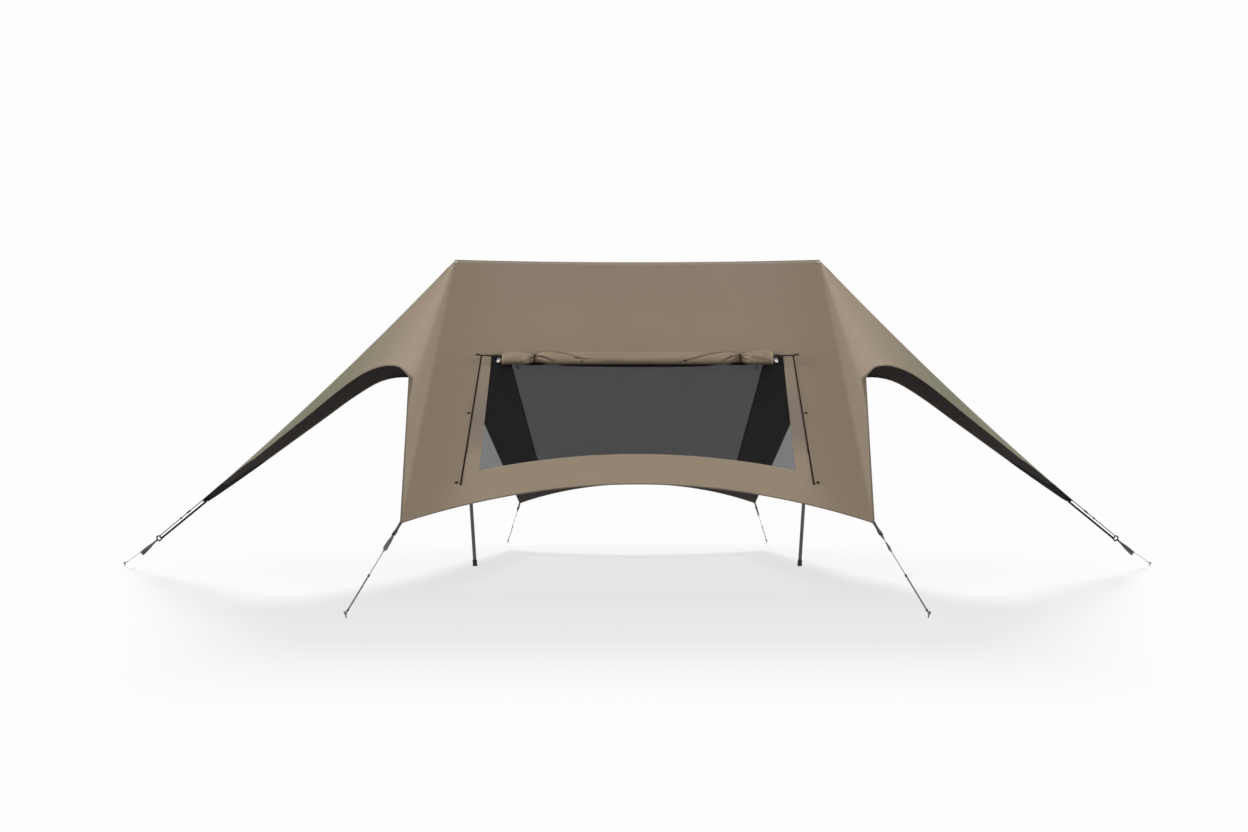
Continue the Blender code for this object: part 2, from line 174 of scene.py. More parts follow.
floor_mesh = bpy.data.meshes.new("floor")
corners = np.array([(-1, -1, 0), (1, -1, 0), (1, 1, 0), (-1, 1, 0)]) * FLOOR_HALF
floor_mesh.from_pydata(corners, [], np.array([[0, 1, 2, 3]]))
floor = bpy.data.objects.new("floor", floor_mesh)
bpy.context.scene.collection.objects.link(floor)
floor_material, _, floor_shader = new_material("white_sweep")
floor_shader.inputs["Base Color"].default_value = (FLOOR_GREY, FLOOR_GREY, FLOOR_GREY, 1.0)
floor_shader.inputs["Roughness"].default_value = 1.0
floor_shader.inputs["Specular IOR Level"].default_value = 0.0
floor_shader.inputs["Emission Color"].default_value = (1.0, 1.0, 1.0, 1.0)
floor_shader.inputs["Emission Strength"].default_value = FLOOR_GLOW
floor_mesh.materials.append(floor_material)
unlit = bpy.data.collections.new("not_lit_by_softboxes")
unlit.objects.link(floor)
unlit.collection_objects[0].light_linking.link_state = "EXCLUDE"
for lamp in softboxes:
    lamp.light_linking.receiver_collection = unlit
print("studio: floor", 2 * FLOOR_HALF, "m wide,", 1 + len(softboxes), "lights")

# %% [markdown]
# ## From arrays to meshes
#
# Every new piece below is a grid of points: rows by columns by three. One helper turns such a grid into a mesh, and
# a tube is a grid whose columns wrap round on themselves. The piece's own UV map carries metres along the cloth, so
# that weave and stitches keep their scale on every piece.

# %% Grids to meshes
SHARP_DEGREES = 50


def put_in_scene(name, points, faces, corner_uv, materials):
    """A mesh object from points (n, 3), faces of any length, and one UV pair for each face corner."""
    mesh = bpy.data.meshes.new(name)
    mesh.from_pydata(points.reshape(-1, 3), [], faces)
    layer = mesh.uv_layers.new(name="UVMap")
    layer.data.foreach_set("uv", np.asarray(corner_uv, dtype=np.float32).ravel())
    for finish in materials:
        mesh.materials.append(finish)
    mesh.shade_smooth()
    mesh.set_sharp_from_angle(angle=np.radians(SHARP_DEGREES))
    made = bpy.data.objects.new(name, mesh)
    bpy.context.scene.collection.objects.link(made)
    return made


def cell_corners(rows, columns, wrap_rows=False, wrap_columns=False):
    """Row and column numbers of the four corners of every cell; on a grid that wraps they run one past the end."""
    i, j = (v.ravel() for v in np.meshgrid(
        np.arange(rows - 1 + wrap_rows), np.arange(columns - 1 + wrap_columns), indexing="ij"))
    return np.stack([i, i + 1, i + 1, i], 1), np.stack([j, j, j + 1, j + 1], 1)


def surface(name, points, uv, materials, flip=False):
    """A grid of points (rows, columns, 3) as an object, with its UV (rows, columns, 2). flip turns its faces over."""
    i, j = cell_corners(*points.shape[:2])
    if flip:
        i, j = i[:, ::-1], j[:, ::-1]
    return put_in_scene(name, points, (i * points.shape[1] + j).tolist(), uv[i, j].reshape(-1, 2), materials)


def finish_piece(obj, slot, *replaced):
    """The piece moves with the shelter and stands for the nodes it replaces. slot is not used."""
    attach(obj, "root")
    if replaced:
        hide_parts(*replaced)
    return obj


def show(obj):
    """Prints how large a piece is and how many triangles it has once its modifiers are worked out."""
    evaluated = obj.evaluated_get(bpy.context.evaluated_depsgraph_get()).data
    evaluated.calc_loop_triangles()
    flat = np.empty(len(evaluated.vertices) * 3, np.float32)
    evaluated.vertices.foreach_get("co", flat)
    size = np.ptp(flat.reshape(-1, 3), axis=0)
    print(f"{obj.name}: {size[0]:.3f} x {size[1]:.3f} x {size[2]:.3f} m, {len(evaluated.loop_triangles)} triangles")


# %% [markdown]
# ## The shape of the taut cloth
#
# The canvas hangs between a level ridge and four corners. A place on the front or rear is given by x and by s,
# which is 0 at the ridge and 1 at the corners. Between its edges the cloth sags a little, and outside a soft crease
# from each ridge end to its corner it tilts outwards. These are the frame's own dimensions, repeated here because
# every seam, zip and roll below is laid on this surface.

# %% Dimensions of the canvas
# Lengths are in metres. HEM_RISE, NOTCH_S and all tops and feet are places in s.
RIDGE_HALF = 1.308
RIDGE_HEIGHT = 2.200
CORNER_X, CORNER_Y, CORNER_Z = 1.131, 2.300, 0.404
SLOPE_LENGTH = float(np.hypot(CORNER_Y, RIDGE_HEIGHT - CORNER_Z))
RIDGE_SAG = 0.018
PANEL_SAG = 0.036
WING_SAG = 0.043
OUTWARD_TILT = 0.20
CREASE_SOFT = 0.045
CREASE_TURN = 0.26
HEM_RISE = 0.117
NOTCH_X, NOTCH_S = 1.349, 0.530
WING_EDGE_END = (3.100, 0.052, 0.470)
WING_TIP = (3.116, 0.0, 0.483)

# The free edge between notch and wing tip: x, the distance from the ridge's plane, and z.
ARCH = [
    (1.545, 0.697, 1.348), (1.635, 0.480, 1.380), (1.725, 0.345, 1.397), (1.883, 0.250, 1.365), (2.084, 0.203, 1.241),
    (2.300, 0.173, 1.075), (2.500, 0.151, 0.924), (2.700, 0.125, 0.771), (2.900, 0.100, 0.622),
]

FRONT, REAR = -1, 1
ENDS = ((FRONT, "front"), (REAR, "rear"))
HANDS = ((-1, "left"), (1, "right"))
WINDOW = {
    FRONT: {"top": 0.4375, "top_bow": 0.0125, "top_half": 0.887, "foot": 0.792, "foot_bow": 0.0575,
            "foot_half": 0.813, "taper": 0.1855, "side_from": 0.450},
    REAR: {"top": 0.330, "top_bow": 0.0, "top_half": 1.016, "foot": 0.835, "foot_bow": 0.055,
           "foot_half": 0.880, "taper": 0.262, "side_from": 0.330},
}

# A zip runs down beside each window: x at its top, how fast it nears the middle, and the s of its top and foot.
ZIPS = {FRONT: (0.949, 0.138, 0.452, 0.895), REAR: (1.078, 0.214, 0.345, 0.932)}


def crease_x(s):
    """Half the width between the two soft creases: a straight line from the ridge end to the corner."""
    return RIDGE_HALF + (CORNER_X - RIDGE_HALF) * s


def hem_s(x):
    """The hem is a shallow arch: a parabola through both corners, highest in the middle."""
    return 1 - HEM_RISE * (1 - (x / CORNER_X) ** 2)


def window_top_s(x, side):
    """The window's upper edge, a parabola that falls a little towards its ends."""
    w = WINDOW[side]
    return w["top"] + w["top_bow"] * (x / w["top_half"]) ** 2


def window_foot_s(x, side):
    """The window's lower edge, a parabola that follows the hem."""
    w = WINDOW[side]
    return w["foot"] + w["foot_bow"] * (x / w["foot_half"]) ** 2


def window_x(s, side):
    """Half the window's width, straight from top to foot."""
    w = WINDOW[side]
    return w["top_half"] - w["taper"] * (s - w["side_from"])


def zip_x(s, side):
    """Distance of the zip from the middle."""
    top_x, taper, top, _ = ZIPS[side]
    return top_x - taper * (s - top)


def crease_drop(out, s):
    """How far the soft crease lies below a sharp one: a hyperbola across it, tighter at both of its ends."""
    soft = CREASE_SOFT * (1 - np.exp(-s / 0.08)) * (1 - 0.6 * np.exp(-(1 - s) / 0.06))
    return CREASE_TURN / 2 * (np.sqrt(out**2 + soft**2) - np.abs(out))


def roof(x, s, side):
    """Points of the cloth's outer face: a plane, less a parabolic sag across it, less the tilt past the crease."""
    x, s = np.broadcast_arrays(x, s)
    out = np.abs(x) - crease_x(s)
    inside = np.maximum(0, 1 - (x / crease_x(s)) ** 2)
    sag = RIDGE_SAG + (PANEL_SAG - RIDGE_SAG) * np.sin(np.pi * s)
    plane = RIDGE_HEIGHT - (RIDGE_HEIGHT - CORNER_Z) * s
    z = plane - sag * inside - OUTWARD_TILT * np.maximum(0, out) - crease_drop(out, s)
    return np.stack([x, side * CORNER_Y * s, z], axis=-1)


def roof_frame(x, s, side):
    """The point of the roof with three directions there: along +X, down the slope, and out of the cloth."""
    step = 1e-3
    place = roof(x, s, side)
    across = roof(x + step, s, side) - roof(x - step, s, side)
    down = roof(x, s + step, side) - roof(x, s - step, side)
    out = np.cross(across, down) * side
    across = across / np.linalg.norm(across, axis=-1, keepdims=True)
    out = out / np.linalg.norm(out, axis=-1, keepdims=True)
    down = np.cross(out, across) * side
    return place, across, down, out


place, _, down, out = (v[0].round(3) for v in roof_frame(np.array([0.0]), np.array([0.5]), FRONT))
print("roof at half height:", place, "down", down, "out", out)

# %% [markdown]
# ## The free edge
#
# From each corner the cloth's edge climbs straight to a notch, turns, and sweeps over the entrance to the wing tip.
# It could be drawn by hand, but a smooth curve through a few measured knots is easier to check and to change. The
# knots are joined by cubic spans, and a running mean rounds the notch as a sewn edge is rounded.

# %% Side edge
# The widths are those of the running mean, in metres along the edge.
EDGE_STEP = 0.006
NOTCH_ROUND = 0.060
ARCH_ROUND = 0.21


def curve_through(knots, per_span):
    """A smooth curve through knots: each span is a cubic, and its slopes are means weighted by the spans' lengths."""
    knots = np.asarray(knots, float)
    step = np.diff(knots, axis=0)
    span = np.linalg.norm(step, axis=1)[:, None]
    slope = step / span
    inner = (slope[:-1] * span[1:] + slope[1:] * span[:-1]) / (span[:-1] + span[1:])
    turn = np.vstack([1.5 * slope[:1] - 0.5 * inner[:1], inner, slope[-1:]])
    t = (np.arange(per_span) / per_span)[None, :, None]
    from_here, leaving = 2 * t**3 - 3 * t**2 + 1, t**3 - 2 * t**2 + t
    to_next, arriving = 3 * t**2 - 2 * t**3, t**3 - t**2
    here, after = knots[:-1, None], knots[1:, None]
    curve = here * from_here + (turn[:-1] * span)[:, None] * leaving
    curve = curve + after * to_next + (turn[1:] * span)[:, None] * arriving
    return np.vstack([curve.reshape(-1, 3), knots[-1:]])


def travelled(points):
    """Distance along a line of points, from its first one."""
    return np.concatenate([[0.0], np.cumsum(np.linalg.norm(np.diff(points, axis=0), axis=1))])


def along(points, distance):
    """Points at the given distances along a line of points."""
    reach = travelled(points)
    return np.stack([np.interp(distance, reach, points[:, k]) for k in range(points.shape[1])], axis=-1)


def running_mean(line, width):
    """A line of evenly spaced points, each replaced by the weighted mean of its neighbours; width counts steps."""
    half = round(width / 2)
    weights = np.hanning(2 * half + 3)[1:-1]
    padded = np.pad(line, ((half, half), (0, 0)), mode="edge")
    means = [np.convolve(column, weights / weights.sum(), "valid") for column in padded.T]
    return np.stack(means, axis=-1)


def free_edge():
    """The right rear edge from corner to tip, evenly spaced, with the distances of the notch and the crown."""
    s = np.linspace(1, NOTCH_S, 60)
    climb_x = NOTCH_X + (CORNER_X - NOTCH_X) * (s - NOTCH_S) / (1 - NOTCH_S)
    climb = roof(climb_x, s, REAR)
    arch = curve_through([climb[-1], *ARCH, WING_EDGE_END], 40)
    line = np.vstack([climb[:-1], arch, [WING_TIP]])
    notch_at = travelled(climb)[-1]
    crown = np.argmin(np.linalg.norm(line - ARCH[2], axis=1))
    crown_at = travelled(line)[crown]
    end = travelled(line)[-1]
    reach = np.linspace(0, end, round(end / EDGE_STEP))
    even = along(line, reach)
    past_notch = np.clip((reach - notch_at - 0.08) / 0.12, 0, 1)
    before_tip = np.clip((end - 0.10 - reach) / 0.30, 0, 1)
    arch = (past_notch * before_tip)[:, None]
    even = even * (1 - arch) + running_mean(even, ARCH_ROUND / EDGE_STEP) * arch
    near = np.exp(-(((reach - notch_at) / (1.5 * NOTCH_ROUND)) ** 4))[:, None]
    return even * (1 - near) + running_mean(even, NOTCH_ROUND / EDGE_STEP) * near, notch_at, crown_at


EDGE, NOTCH_AT, CROWN_AT = free_edge()
EDGE_REACH = travelled(EDGE)
print("free edge:", len(EDGE), "points,", round(EDGE_REACH[-1], 3), "m from corner to tip")

# %% [markdown]
# ## The canopy
#
# On the real shelter the roof, the side panels and both wings are one skin, sewn from a few widths of canvas. It
# could be a handful of flat panels, but flat panels show their edges as soon as light rakes across them. Here each
# quarter of the skin is one grid that runs from the middle of the ridge, across the soft crease and round the pole's
# end, to the wing tip. Rays from the ridge end carry the cloth out to the free edge. The four quarters share their
# seams, so welding them gives one continuous sheet with two window openings.

# %% Canopy grid
# Columns run from the middle of the ridge outwards: window, strip beside it, then the rays past the crease.
WINDOW_COLUMNS = 30
STRIP_COLUMNS = 20
CLIMB_COLUMNS = 30
GUSSET_COLUMNS = 18
WING_COLUMNS = 34
CREASE_COLUMN = WINDOW_COLUMNS + STRIP_COLUMNS
EDGE_COLUMNS = CLIMB_COLUMNS + GUSSET_COLUMNS + WING_COLUMNS
ROOF_ROWS, WINDOW_ROWS, SILL_ROWS = 20, 28, 22
RIDGE_COLUMN_X = 1.03
SETTLE_ROUNDS = 20
RELAX_ROUNDS, RELAX_STEP = 70, 0.6


def clustered(count, power):
    """Fractions from 0 to 1 that crowd towards 1 as power grows."""
    return 1 - (1 - np.linspace(0, 1, count + 1)) ** power


def middle_quarter(side):
    """x and s of the quarter between the ridge's middle and the crease, with lines along window, ridge and hem."""
    inner = np.linspace(0, 1, WINDOW_COLUMNS + 1)
    outer = clustered(STRIP_COLUMNS, 1.5)[1:]
    upper = np.linspace(0, 1, ROOF_ROWS + 1)[:, None]
    middle = np.linspace(0, 1, WINDOW_ROWS + 1)[1:, None]
    lower = clustered(SILL_ROWS, 1.5)[1:, None]
    rows, columns = ROOF_ROWS + WINDOW_ROWS + SILL_ROWS + 1, CREASE_COLUMN + 1
    x, s = np.zeros((rows, columns)), np.full((rows, columns), 0.5)
    for _ in range(SETTLE_ROUNDS):
        top, foot, hem = window_top_s(x, side), window_foot_s(x, side), hem_s(x)
        top_end = WINDOW[side]["side_from"]
        above = RIDGE_COLUMN_X + (window_x(top_end, side) - RIDGE_COLUMN_X) * s / top_end
        line = np.where(s < top_end, above, window_x(s, side))
        strip = line[:, WINDOW_COLUMNS + 1 :]
        crease = crease_x(s[:, WINDOW_COLUMNS + 1 :])
        x = np.hstack([line[:, : WINDOW_COLUMNS + 1] * inner, strip + (crease - strip) * outer])
        a, b = ROOF_ROWS + 1, ROOF_ROWS + WINDOW_ROWS + 1
        s = np.vstack([top[:a] * upper, top[a:b] + (foot - top)[a:b] * middle, foot[b:] + (hem - foot)[b:] * lower])
    return x, s


def crease_drop_at(points):
    """The drop of the soft crease at any points of the cloth."""
    s = points[..., 1] / CORNER_Y
    return crease_drop(points[..., 0] - crease_x(s), s)


def fan_quarter(crease_s):
    """The cloth outside the crease: rays from the ridge end to the free edge, with a sag along each ray of the wing.

    crease_s are the fractions along the crease; towards the wing's ridge they even out, so that front and rear meet.
    """
    climb = NOTCH_AT * (1 - clustered(CLIMB_COLUMNS, 1.6)[::-1])[1:]
    gusset = NOTCH_AT + (CROWN_AT - NOTCH_AT) * np.linspace(0, 1, GUSSET_COLUMNS + 1)[1:]
    wing = CROWN_AT + (EDGE_REACH[-1] - CROWN_AT) * np.linspace(0, 1, WING_COLUMNS + 1)[1:]
    reach = np.concatenate([climb, gusset, wing])
    ends = along(EDGE, reach)[None]
    part = np.clip((reach - NOTCH_AT) / (EDGE_REACH[-1] - NOTCH_AT), 0, 1)[None]
    share = np.linspace(0, 1, EDGE_COLUMNS + 1)[1:]
    share = (share**2 * (3 - 2 * share))[None]
    even = np.linspace(0, 1, len(crease_s))[:, None]
    r = crease_s[:, None] * (1 - share) + even * share
    peak = np.array([RIDGE_HALF, 0, RIDGE_HEIGHT])
    points = peak + (ends - peak) * r[..., None]
    points[..., 2] -= WING_SAG * part * 4 * r * (1 - r)
    points[..., 2] -= crease_drop_at(points) - r * crease_drop_at(ends)
    return points


def grid_normal(points):
    """Unit normals of a grid of points, from the differences along its rows and columns, facing up."""
    down, across = np.gradient(points, axis=0), np.gradient(points, axis=1)
    normal = np.cross(across, down)
    length = np.linalg.norm(normal, axis=-1, keepdims=True)
    normal = np.where(length > 1e-12, normal / np.maximum(length, 1e-12), [0, 0, 1])
    return normal * np.where(normal[..., 2:] < 0, -1, 1)


def relaxed(points, free):
    """Cloth under tension: each point moves along its normal towards the mean of its four neighbours."""
    for _ in range(RELAX_ROUNDS):
        mean = np.copy(points)
        mean[1:-1, 1:-1] = (points[:-2, 1:-1] + points[2:, 1:-1] + points[1:-1, :-2] + points[1:-1, 2:]) / 4
        normal = grid_normal(points)
        lift = ((mean - points) * normal).sum(-1, keepdims=True)
        points = points + normal * lift * free[..., None] * RELAX_STEP
    return points


def quarter(side):
    """The right quarter at y >= 0, for the window of the given side: points (rows, columns, 3)."""
    x, s = middle_quarter(side)
    points = np.hstack([roof(x, s, REAR), fan_quarter(s[:, -1])])
    free = np.zeros(points.shape[:2])
    free[:, WINDOW_COLUMNS : CREASE_COLUMN + 1] = np.linspace(0, 1, STRIP_COLUMNS + 1) ** 2
    free[:, CREASE_COLUMN + 1 : -1] = 1
    return relaxed(points, free)


QUARTERS = {side: quarter(side) for side in (FRONT, REAR)}
print("quarter grid:", QUARTERS[FRONT].shape)

# %% Canopy sheet
CANVAS_THICK = 0.0012
CANVAS_NODES = ["front_roof_panel", "rear_roof_panel", "front_sill_panel", "rear_hem_panel"]
CANVAS_NODES += [
    f"{end}_{word}_{piece}" for _, end in ENDS for _, word in HANDS for piece in ("panel", "gusset", "wing")
]


def weld(obj, distance=2e-5):
    """Joins points that lie together, so that quarters and closed seams become one skin."""
    work = bmesh.new()
    work.from_mesh(obj.data)
    bmesh.ops.remove_doubles(work, verts=work.verts, dist=distance)
    loose = [v for v in work.verts if not v.link_faces]
    bmesh.ops.delete(work, geom=loose, context="VERTS")
    work.to_mesh(obj.data)
    work.free()


def thicken(obj, thickness, offset=-1, inner=0):
    """Gives a sheet its thickness: inwards, or to both sides with offset 0. inner is its inner face's material."""
    thick = obj.modifiers.new("thickness", "SOLIDIFY")
    thick.thickness, thick.offset, thick.material_offset = thickness, offset, inner
    return obj


def make_canopy(materials):
    """The four quarters, mirrored into place, less the window cells, welded along ridge, crease and wing ridges."""
    rows, columns = QUARTERS[FRONT].shape[:2]
    i, j = cell_corners(rows, columns)
    in_rows = (i[:, 0] >= ROOF_ROWS) & (i[:, 0] < ROOF_ROWS + WINDOW_ROWS)
    keep = ~(in_rows & (j[:, 0] < WINDOW_COLUMNS))
    cells = (i * columns + j)[keep]
    points, faces, uvs = [], [], []
    for side in (FRONT, REAR):
        for hand in (-1, 1):
            placed = (QUARTERS[side] * [hand, side, 1]).reshape(-1, 3)
            flat = np.stack([placed[:, 0], placed[:, 1] * SLOPE_LENGTH / CORNER_Y], axis=-1)
            turned = cells[:, ::-1] if hand * side > 0 else cells
            faces.append(turned + len(points) * rows * columns)
            points.append(placed)
            uvs.append(flat[turned])
    canopy = put_in_scene("canopy", np.vstack(points), np.vstack(faces).tolist(), np.vstack(uvs), materials)
    weld(canopy)
    return thicken(canopy, CANVAS_THICK, inner=1)


# %% [markdown]
# ## Patterns shared by the finishes
#
# Canvas, webbing, cord and mesh are all threads at different scales. Each pattern is a node group that takes a place
# in metres and gives a height, a mask or a shade. A picture of cloth would blur close up and repeat far away, while
# these formulas stay sharp at any distance. The groups hold no shader, so every material can use them in its own way.

# %% Pattern groups


class Term:
    """A socket that can stand in a formula. Every operation on it adds a node to its tree and gives a new term."""

    def __init__(self, tree, socket):
        self.tree, self.socket = tree, socket

    def math(self, operation, *others):
        """One Math node; the others are terms or numbers."""
        node = self.tree.nodes.new("ShaderNodeMath")
        node.operation = operation
        for value, socket in zip((self, *others), node.inputs):
            give(value, socket)
        return Term(self.tree, node.outputs[0])

    def __add__(self, other):
        return self.math("ADD", other)

    def __sub__(self, other):
        return self.math("SUBTRACT", other)

    def __mul__(self, other):
        return self.math("MULTIPLY", other)

    def __truediv__(self, other):
        return self.math("DIVIDE", other)

    def __abs__(self):
        return self.math("ABSOLUTE")

    def wave(self):
        """sin(pi x)"""
        return (self * np.pi).math("SINE")

    def from_middle(self):
        """The distance from the middle of each whole step: |fract(x) - 1/2|"""
        return abs(self.math("FRACT") - 0.5)

    def step(self, low, high, to_low=0.0, to_high=1.0):
        """A smooth step: to_low below low, and to_high above high."""
        node = self.tree.nodes.new("ShaderNodeMapRange")
        node.interpolation_type = "SMOOTHSTEP"
        labels = ("Value", "From Min", "From Max", "To Min", "To Max")
        for value, label in zip((self, low, high, to_low, to_high), labels):
            give(value, node.inputs[label])
        return Term(self.tree, node.outputs["Result"])

    def spread(self, low, high):
        """Noise stretched so that it runs from low to high."""
        return self.step(0.3, 0.7, low, high)


def give(value, socket):
    """Links a term to a socket, or sets the socket to a plain value."""
    if isinstance(value, Term):
        value.tree.links.new(value.socket, socket)
    else:
        socket.default_value = value


def terms(tree, sockets):
    """The sockets of a node as terms, by their names."""
    return {socket.name: Term(tree, socket) for socket in sockets}


def new_group(name, numbers, results):
    """A shader node group: a place and named numbers with their defaults go in, and named results come out."""
    group = bpy.data.node_groups.new(name, "ShaderNodeTree")
    group.interface.new_socket(name="Place", in_out="INPUT", socket_type="NodeSocketVector")
    for label, value in numbers.items():
        socket = group.interface.new_socket(name=label, in_out="INPUT", socket_type="NodeSocketFloat")
        socket.default_value = value
    for label in results:
        group.interface.new_socket(name=label, in_out="OUTPUT", socket_type="NodeSocketFloat")
    given = terms(group, group.nodes.new("NodeGroupInput").outputs)
    return group, given, group.nodes.new("NodeGroupOutput").inputs


def parts(place):
    """The first two coordinates of a place."""
    node = place.tree.nodes.new("ShaderNodeSeparateXYZ")
    give(place, node.inputs[0])
    return Term(place.tree, node.outputs[0]), Term(place.tree, node.outputs[1])


def place_of(u, v):
    """A place from two coordinates."""
    node = u.tree.nodes.new("ShaderNodeCombineXYZ")
    give(u, node.inputs[0])
    give(v, node.inputs[1])
    return Term(u.tree, node.outputs[0])


def noise(place, scale, detail=2.0):
    """Noise around 0.5 at a place, with features about 1 / scale metres across."""
    node = place.tree.nodes.new("ShaderNodeTexNoise")
    give(place, node.inputs["Vector"])
    node.inputs["Scale"].default_value = scale
    node.inputs["Detail"].default_value = detail
    return Term(place.tree, node.outputs["Fac"])


def weave_group():
    """Plain weave: |sin pi u| (0.6 + 0.4 |sin pi v|) where sin pi u sin pi v > 0, and u, v swapped elsewhere."""
    group, given, result = new_group("plain_weave", {"Threads": 900.0}, ["Height"])
    wave = [(c * given["Threads"]).wave() for c in parts(given["Place"])]
    a, b = (abs(w) for w in wave)
    warp, weft = a * (b * 0.4 + 0.6), b * (a * 0.4 + 0.6)
    over = (wave[0] * wave[1]).math("GREATER_THAN", 0.0)
    give(over * (warp - weft) + weft, result["Height"])
    return group


def slub_group():
    """Uneven yarn: long streaks along both thread directions, and soft clouds of shade. Both lie around 1."""
    group, given, result = new_group("uneven_yarn", {"Streaks": 0.05, "Clouds": 0.04}, ["Shade"])
    u, v = parts(given["Place"])
    streak = noise(place_of(u * 9.0, v * 420.0), 1.0) + noise(place_of(u * 420.0, v * 9.0), 1.0)
    cloud = noise(given["Place"], 2.3, 3.0) - 0.5
    give(cloud * given["Clouds"] + ((streak - 1.0) * given["Streaks"] + 1.0), result["Shade"])
    return group


def stitch_group():
    """A row of stitches at v = Row: a mask of 1 inside each stitch."""
    group, given, result = new_group("stitch_row", {"Row": 0.0035, "Pitch": 0.0034, "Half Width": 0.0004}, ["Mask"])
    u, v = parts(given["Place"])
    in_row = abs(v - given["Row"]).step(given["Half Width"] * 0.5, given["Half Width"], 1.0, 0.0)
    in_stitch = (u / given["Pitch"]).from_middle().step(0.30, 0.38, 1.0, 0.0)
    give(in_row * in_stitch, result["Mask"])
    return group


def rib_group():
    """Webbing: ribs across the strap, each broken by the warp yarns that pass over it."""
    group, given, result = new_group("webbing_rib", {"Rib": 0.0016, "Yarn": 0.0011}, ["Height"])
    u, v = parts(given["Place"])
    yarn = v / given["Yarn"]
    rib = abs((u / given["Rib"] + yarn.math("FLOOR") * 0.5).wave())
    give((rib * 0.7 + 0.3) * abs(yarn.wave()).math("POWER", 0.5), result["Height"])
    return group


def braid_group():
    """Braid: two sets of strands that climb round the cord in opposite directions; the higher one shows."""
    group, given, result = new_group("braid", {"Strand": 0.0016}, ["Height", "Strand Number"])
    u, v = parts(given["Place"])
    a, b = (u + v) / given["Strand"], (u - v) / given["Strand"]
    give(abs(a.wave()).math("MAXIMUM", abs(b.wave())), result["Height"])
    give(a.math("FLOOR"), result["Strand Number"])
    return group


def net_group():
    """Insect mesh: a mask of 1 on the threads of a square net and 0 in its holes."""
    group, given, result = new_group("net_threads", {"Cell": 0.0014, "Thread": 0.30}, ["Mask"])
    edge = given["Thread"] * -0.5 + 0.5
    along_u, along_v = (
        (c / given["Cell"]).from_middle().step(edge - 0.05, edge + 0.05) for c in parts(given["Place"]))
    give(along_u.math("MAXIMUM", along_v), result["Mask"])
    return group


WEAVE, SLUB, STITCH, RIB, BRAID, NET = (
    make() for make in (weave_group, slub_group, stitch_group, rib_group, braid_group, net_group))
print("pattern groups:", [group.name for group in (WEAVE, SLUB, STITCH, RIB, BRAID, NET)])

# %% [markdown]
# ## Finishes
#
# The canvas is thick taupe polycotton, nearly matt, with a dark coating inside. Light and shade are painted into it
# as a colour on the points of the piece, called tone, which the shader multiplies: painted light makes it lighter on
# the frame round the window and yellower past the crease, and painted shade darkens it beside the creases, lower on
# the slope and towards the wing tips. The rest is plastic, rubber, painted tube and steel, each with a little
# unevenness.

# %% Finishes
CANVAS_THREADS = 780.0
NET_CELL, NET_THREAD = 0.0016, 0.34
NET_CONTRAST = 0.28


def use_group(group, place, **numbers):
    """The results of a pattern at a place, by their names."""
    node = place.tree.nodes.new("ShaderNodeGroup")
    node.node_tree = group
    give(place, node.inputs["Place"])
    for label, value in numbers.items():
        give(value, node.inputs[label])
    return terms(place.tree, node.outputs)


def cloth_place(tree):
    """Metres along and across the cloth, from the piece's UV map."""
    return Term(tree, tree.nodes.new("ShaderNodeUVMap").outputs["UV"])


def object_place(tree):
    """Metres in the piece's own space."""
    return Term(tree, tree.nodes.new("ShaderNodeTexCoord").outputs["Object"])


def scaled_colour(colour, shade):
    """A colour multiplied by a shade."""
    node = shade.tree.nodes.new("ShaderNodeVectorMath")
    node.operation = "SCALE"
    give(colour, node.inputs[0])
    give(shade, node.inputs["Scale"])
    return Term(shade.tree, node.outputs["Vector"])


def times_painted_tone(colour):
    """A colour multiplied by the piece's tone, which holds its painted light and shade."""
    tone = colour.tree.nodes.new("ShaderNodeAttribute")
    tone.attribute_name = "tone"
    node = colour.tree.nodes.new("ShaderNodeVectorMath")
    node.operation = "MULTIPLY"
    give(colour, node.inputs[0])
    give(Term(colour.tree, tone.outputs["Vector"]), node.inputs[1])
    return Term(colour.tree, node.outputs["Vector"])


def blended(factor, first, second):
    """The first colour, a term, where the factor is 0, and the second, a triple, where it is 1."""
    node = factor.tree.nodes.new("ShaderNodeMix")
    node.data_type = "RGBA"
    give(factor, node.inputs["Factor"])
    for label, colour in (("A", first), ("B", (*second, 1.0))):
        give(colour, next(s for s in node.inputs if s.name == label and s.type == "RGBA"))
    return Term(factor.tree, next(s for s in node.outputs if s.type == "RGBA"))


def set_shader(shader, height, distance, strength, **values):
    """Gives the shader its inputs by name, and a bump of the height in metres, softened by a strength."""
    for label, value in values.items():
        give(value, shader.inputs[label.replace("_", " ")])
    node = height.tree.nodes.new("ShaderNodeBump")
    node.inputs["Strength"].default_value = strength
    node.inputs["Distance"].default_value = distance
    give(height, node.inputs["Height"])
    give(Term(height.tree, node.outputs["Normal"]), shader.inputs["Normal"])


def canvas_finish():
    """The outer face: plain weave of uneven yarn with painted shade in its hollows, times the painted tone of the
    place.
    """
    made, tree, shader = new_material("taupe_canvas")
    place = cloth_place(tree)
    weave = use_group(WEAVE, place, Threads=CANVAS_THREADS)["Height"]
    yarn = use_group(SLUB, place, Streaks=0.10, Clouds=0.05)["Shade"]
    colour = times_painted_tone(scaled_colour((0.258, 0.198, 0.139), yarn * (weave * 0.10 + 0.93)))
    set_shader(shader, yarn * 0.6 + weave, 0.00012, 0.6, Base_Color=colour, Roughness=0.9, Specular_IOR_Level=0.25,
               Sheen_Weight=0.04, Sheen_Roughness=0.5)
    return made


